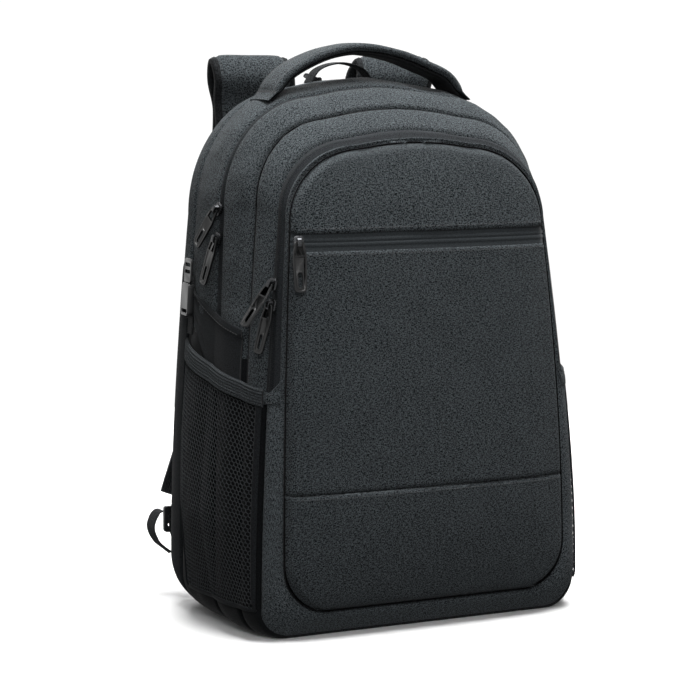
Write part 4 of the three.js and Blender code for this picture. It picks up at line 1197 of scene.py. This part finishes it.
loop_foot = float(section_at(np.array(float(LOOP_Y)))["top"]) + 0.6
loop_path = smooth_path([
    (-LOOP_SPAN / 2, LOOP_Y, loop_foot - 2.4),
    (-LOOP_SPAN * 0.36, LOOP_Y, loop_foot + LOOP_RISE * 0.6),
    (0, LOOP_Y, loop_foot + LOOP_RISE),
    (LOOP_SPAN * 0.36, LOOP_Y, loop_foot + LOOP_RISE * 0.6),
    (LOOP_SPAN / 2, LOOP_Y, loop_foot - 2.4),
])
add_web("hang_loop_web", "hang_loop", loop_path, FRONT_TO_BACK, LOOP_WIDTH)

# Shoulder straps.
# Foam under heathered cloth outside and spacer mesh inside, bound along both edges. Each strap
# folds over above its seam and hangs behind the bag, and webbing ties its end to a corner tab.

STRAP_WIDTH = 78
STRAP_END_WIDTH = 52
STRAP_THICKNESS = 12
STRAP_TOP_Y = PAD_Y + STRAP_THICKNESS / 2
STRAP_HANG_Y = STRAP_TOP_Y + 17
ADJUSTER_LENGTH = 24
ADJUSTER_THICKNESS = 4
LOWER_WEB_WIDTH = 25
TAIL_WIDTH = 18
STRAP_STOPS = (
    (66, STRAP_TOP_Y + 1, 416), (68, STRAP_TOP_Y + 1, 444), (71, STRAP_TOP_Y - 4, 466),
    (72, STRAP_TOP_Y + 4, 479), (70, STRAP_HANG_Y - 1, 468), (65, STRAP_HANG_Y + 2, 438),
    (74, STRAP_HANG_Y, 358), (87, STRAP_HANG_Y + 2, 248), (104, STRAP_HANG_Y, 158),
    (132, STRAP_HANG_Y - 3, 86),
)
TAIL_STOPS = ((6, 0.4, -4), (11, 8, 2), (21, 13, 4), (28, 12, -8), (25, 7, -21), (14, 1, -32))


def add_strap(side, mirrored):
    path = smooth_path(STRAP_STOPS)
    share_along = np.linspace(0, 1, len(path))
    widths = STRAP_WIDTH + (STRAP_END_WIDTH - STRAP_WIDTH) * share_along ** 2
    line = np.sin(np.linspace(-1, 1, 41) * 1.3) / np.sin(1.3)
    face = STRAP_THICKNESS / 2 * (0.36 + 0.64 * (1 - np.abs(line) ** 6))
    face = face - 1.3 * np.exp(-((np.abs(line) - 0.84) / 0.03) ** 2)
    shares = np.concatenate([line, line[::-1]])
    lifts = np.concatenate([face, -face[::-1]])[:, None] * (1 - 0.45 * ramp(share_along, 0.93, 1))[None, :]
    points = strip_points(path, LEFT_TO_RIGHT, widths, shares, lifts)
    points = points + 0.7 * folds(points, 40, 71)[..., None] * facing(points, True)
    piece = add_grid(f"strap_{side}", points, closed=True, mirrored=mirrored, capped=True)
    dress(piece, heather, "dark_cloth", f"shoulder_strap_{side}")
    piece.data.materials.append(spacer_mesh)
    piece.data.materials.append(webbing_weave)
    rows = len(path) - 1
    for face_number, polygon in enumerate(piece.data.polygons):
        column = face_number // rows
        if column >= len(shares):
            continue
        if abs(shares[column]) > 0.84 and abs(shares[(column + 1) % len(shares)]) > 0.84:
            polygon.material_index = 2
        elif column < len(line):
            polygon.material_index = 1
    for edge, edge_name in ((-0.8, "inner"), (0.8, "outer")):
        row = len(line) + int(np.argmin(np.abs(shares[len(line):] - edge)))
        add_stitches(f"stitches_strap_{side}_{edge_name}", piece, points[row, 3:-3], mirrored)
    return path[-1]


def add_lower_webs(side, mirrored, end):
    adjuster_z = end[2] - 4 - ADJUSTER_LENGTH / 2
    web_y = end[1] - ADJUSTER_THICKNESS / 2 - WEB_THICKNESS
    tab_y = PAD_Y + 1.6
    lower = smooth_path([
        (end[0] + 6, web_y, adjuster_z + 6), (end[0] + 6, web_y - 1, adjuster_z - 8),
        (end[0] + 4, tab_y + 10, 50), (end[0] + 4, tab_y + 8.4, 44),
    ])
    add_web(f"lower_web_{side}", f"lower_webbing_{side}", lower, LEFT_TO_RIGHT, LOWER_WEB_WIDTH, mirrored)

    tail_y = end[1] + ADJUSTER_THICKNESS / 2 + 1.6
    tail = smooth_path([(end[0] + x, tail_y + y, adjuster_z + z) for x, y, z in TAIL_STOPS])
    turn = np.pi / 2 * ramp(np.linspace(0, 1, len(tail)), 0.08, 0.42)
    add_web(f"tail_web_{side}", f"web_tail_{side}", tail,
            np.stack([np.cos(turn), np.sin(turn), 0 * turn], axis=-1), TAIL_WIDTH, mirrored)

    tab = smooth_path([(end[0] + 4, tab_y + 5, 50), (end[0], tab_y + 2.6, 40), (end[0] - 18, tab_y, 27)])
    shares, lifts = web_section(2.4, 1, 0)
    widths = np.interp(np.linspace(0, 1, len(tab)), (0, 0.5, 1),
                       (LOWER_WEB_WIDTH, LOWER_WEB_WIDTH + 8, LOWER_WEB_WIDTH + 14))
    points = strip_points(tab, (0.6, 0.0, -0.8), widths, shares, lifts[:, None])
    piece = add_grid(f"corner_tab_{side}", points, closed=True, mirrored=mirrored, capped=True)
    dress(piece, plain, "dark_cloth", f"strap_tab_{side}")


for side, mirrored in SIDES:
    add_lower_webs(side, mirrored, add_strap(side, mirrored))

# Buckles, adjusters and zip hardware.
# Side-release buckles and ladder adjusters are moulded in black acetal, with a fine matt grain.
# Sliders are die-cast and blackened, and their long pulls are moulded and a little glossier.

PULL_RIM = 1.3
PULL_SINK = 0.5
PULL_ROUNDING = 0.28
SLIDER_ROUNDING = 0.35
ACETAL_DARK = (0.008, 0.0085, 0.009, 1)
ACETAL_LIGHT = (0.015, 0.016, 0.017, 1)
PULL_DARK = (0.005, 0.0055, 0.006, 1)
PULL_LIGHT = (0.010, 0.0105, 0.011, 1)
METAL_DARK = (0.030, 0.031, 0.033, 1)
METAL_LIGHT = (0.055, 0.057, 0.06, 1)
DIVIDER_DARK = (0.008, 0.009, 0.010, 1)
DIVIDER_LIGHT = (0.018, 0.019, 0.021, 1)
MOULDED_PULL_PLACES = ("panel_zip", "main_zip_upper", "main_zip_lower", "front_zip_upper", "front_zip_lower")

def solid_finish(name, dark, light, roughness, grain, metal=0.0, relief=0.12):
    """A moulded or cast finish, with its grain on object coordinates in metres."""
    material, tree, shader = new_material(name)
    nodes, links = tree.nodes, tree.links
    shader.inputs["Metallic"].default_value = metal
    shader.inputs["Specular IOR Level"].default_value = 0.28
    place = nodes.new("ShaderNodeTexCoord")
    speckle = nodes.new("ShaderNodeTexNoise")
    speckle.inputs["Scale"].default_value = 1000 / grain
    speckle.inputs["Detail"].default_value = 3
    links.new(place.outputs["Object"], speckle.inputs["Vector"])
    tint(tree, shader, speckle.outputs["Fac"], dark, light)
    gloss = nodes.new("ShaderNodeMapRange")
    gloss.inputs["To Min"].default_value = roughness - 0.08
    gloss.inputs["To Max"].default_value = roughness + 0.08
    links.new(speckle.outputs["Fac"], gloss.inputs["Value"])
    links.new(gloss.outputs["Result"], shader.inputs["Roughness"])
    add_bump(tree, shader, speckle.outputs["Fac"], relief, 0.0002)
    return material


def refinish(node, material):
    """A CAD node keeps its shape and takes a finish from here."""
    piece = bpy.data.objects[node]
    piece.data.materials.clear()
    piece.data.materials.append(material)


def copy_of(node, name):
    """A merged copy of a CAD node, left in edit mode with nothing selected."""
    piece = bpy.data.objects.new(name, bpy.data.objects[node].data.copy())
    bpy.context.collection.objects.link(piece)
    piece.data.materials.clear()
    bpy.ops.object.select_all(action="DESELECT")
    bpy.context.view_layer.objects.active = piece
    piece.select_set(True)
    bpy.ops.object.mode_set(mode="EDIT")
    bpy.ops.mesh.select_all(action="SELECT")
    bpy.ops.mesh.remove_doubles(threshold=0.00001)
    bpy.ops.mesh.dissolve_limited(angle_limit=math.radians(0.5))
    bpy.ops.mesh.select_all(action="DESELECT")
    return piece


def select_outer_face(piece):
    """Selects the flat side of a plate that looks away from the bag."""
    bpy.ops.object.mode_set(mode="OBJECT")
    polygons = piece.data.polygons
    middle = Vector(BAG_MIDDLE) * MM
    outer = [face for face in polygons if face.normal.dot(face.center - middle) > 0]
    largest = max(outer, key=lambda face: face.area)
    for face in polygons:
        level = abs(largest.normal.dot(face.center - largest.center))
        face.select = face.normal.dot(largest.normal) > 0.999 and level < 0.02 * MM
    bpy.ops.object.mode_set(mode="EDIT")


def round_edges(piece, radius, material, slot, node):
    """Rounds the sharp edges and finishes the piece."""
    bpy.ops.object.mode_set(mode="OBJECT")
    rounding = piece.modifiers.new("rounding", "BEVEL")
    rounding.width = radius * MM
    rounding.segments = 3
    rounding.limit_method = "ANGLE"
    rounding.angle_limit = math.radians(35)
    rounding.use_clamp_overlap = True
    bpy.ops.object.modifier_apply(modifier="rounding")
    bpy.ops.object.shade_smooth_by_angle(angle=math.radians(40))
    bpy.ops.object.select_all(action="DESELECT")
    dress(piece, material, slot, node)


def add_pull(node):
    """A long moulded pull: a plate with an eye and a slot, its face sunk inside a raised rim."""
    piece = copy_of(node, f"{node}_moulded")
    select_outer_face(piece)
    bpy.ops.mesh.inset(thickness=PULL_RIM * MM, depth=0, use_even_offset=False)
    bpy.ops.mesh.inset(thickness=0.25 * MM, depth=-PULL_SINK * MM, use_even_offset=False)
    round_edges(piece, PULL_ROUNDING, pull_plastic, "plastic", node)


def add_moulding(node, radius, material, slot):
    piece = copy_of(node, f"{node}_finished")
    round_edges(piece, radius, material, slot, node)


black_acetal = solid_finish("black_acetal", ACETAL_DARK, ACETAL_LIGHT, 0.34, 0.35)
pull_plastic = solid_finish("glossy_pull_plastic", PULL_DARK, PULL_LIGHT, 0.2, 0.5, relief=0.05)
blackened_metal = solid_finish("blackened_metal", METAL_DARK, METAL_LIGHT, 0.26, 0.8, metal=0.9, relief=0.05)
divider_cloth = solid_finish("divider_cloth", DIVIDER_DARK, DIVIDER_LIGHT, 0.9, 0.6, relief=0.3)
add_moulding("laptop_zip_slider", SLIDER_ROUNDING, blackened_metal, "zip_metal")
add_moulding("laptop_zip_pull", 0.4, blackened_metal, "zip_metal")
for place in MOULDED_PULL_PLACES:
    add_moulding(f"{place}_slider", SLIDER_ROUNDING, blackened_metal, "zip_metal")
    add_pull(f"{place}_pull")
for side in ("left", "right"):
    add_moulding(f"side_buckle_{side}", 0.6, black_acetal, "plastic")
    add_moulding(f"side_lock_{side}", 0.4, black_acetal, "plastic")
    add_moulding(f"strap_adjuster_{side}", 0.5, black_acetal, "plastic")

# The plates between the compartments are out of sight, and keep the shape of the CAD model.
refinish("laptop_divider", divider_cloth)
refinish("front_divider", divider_cloth)
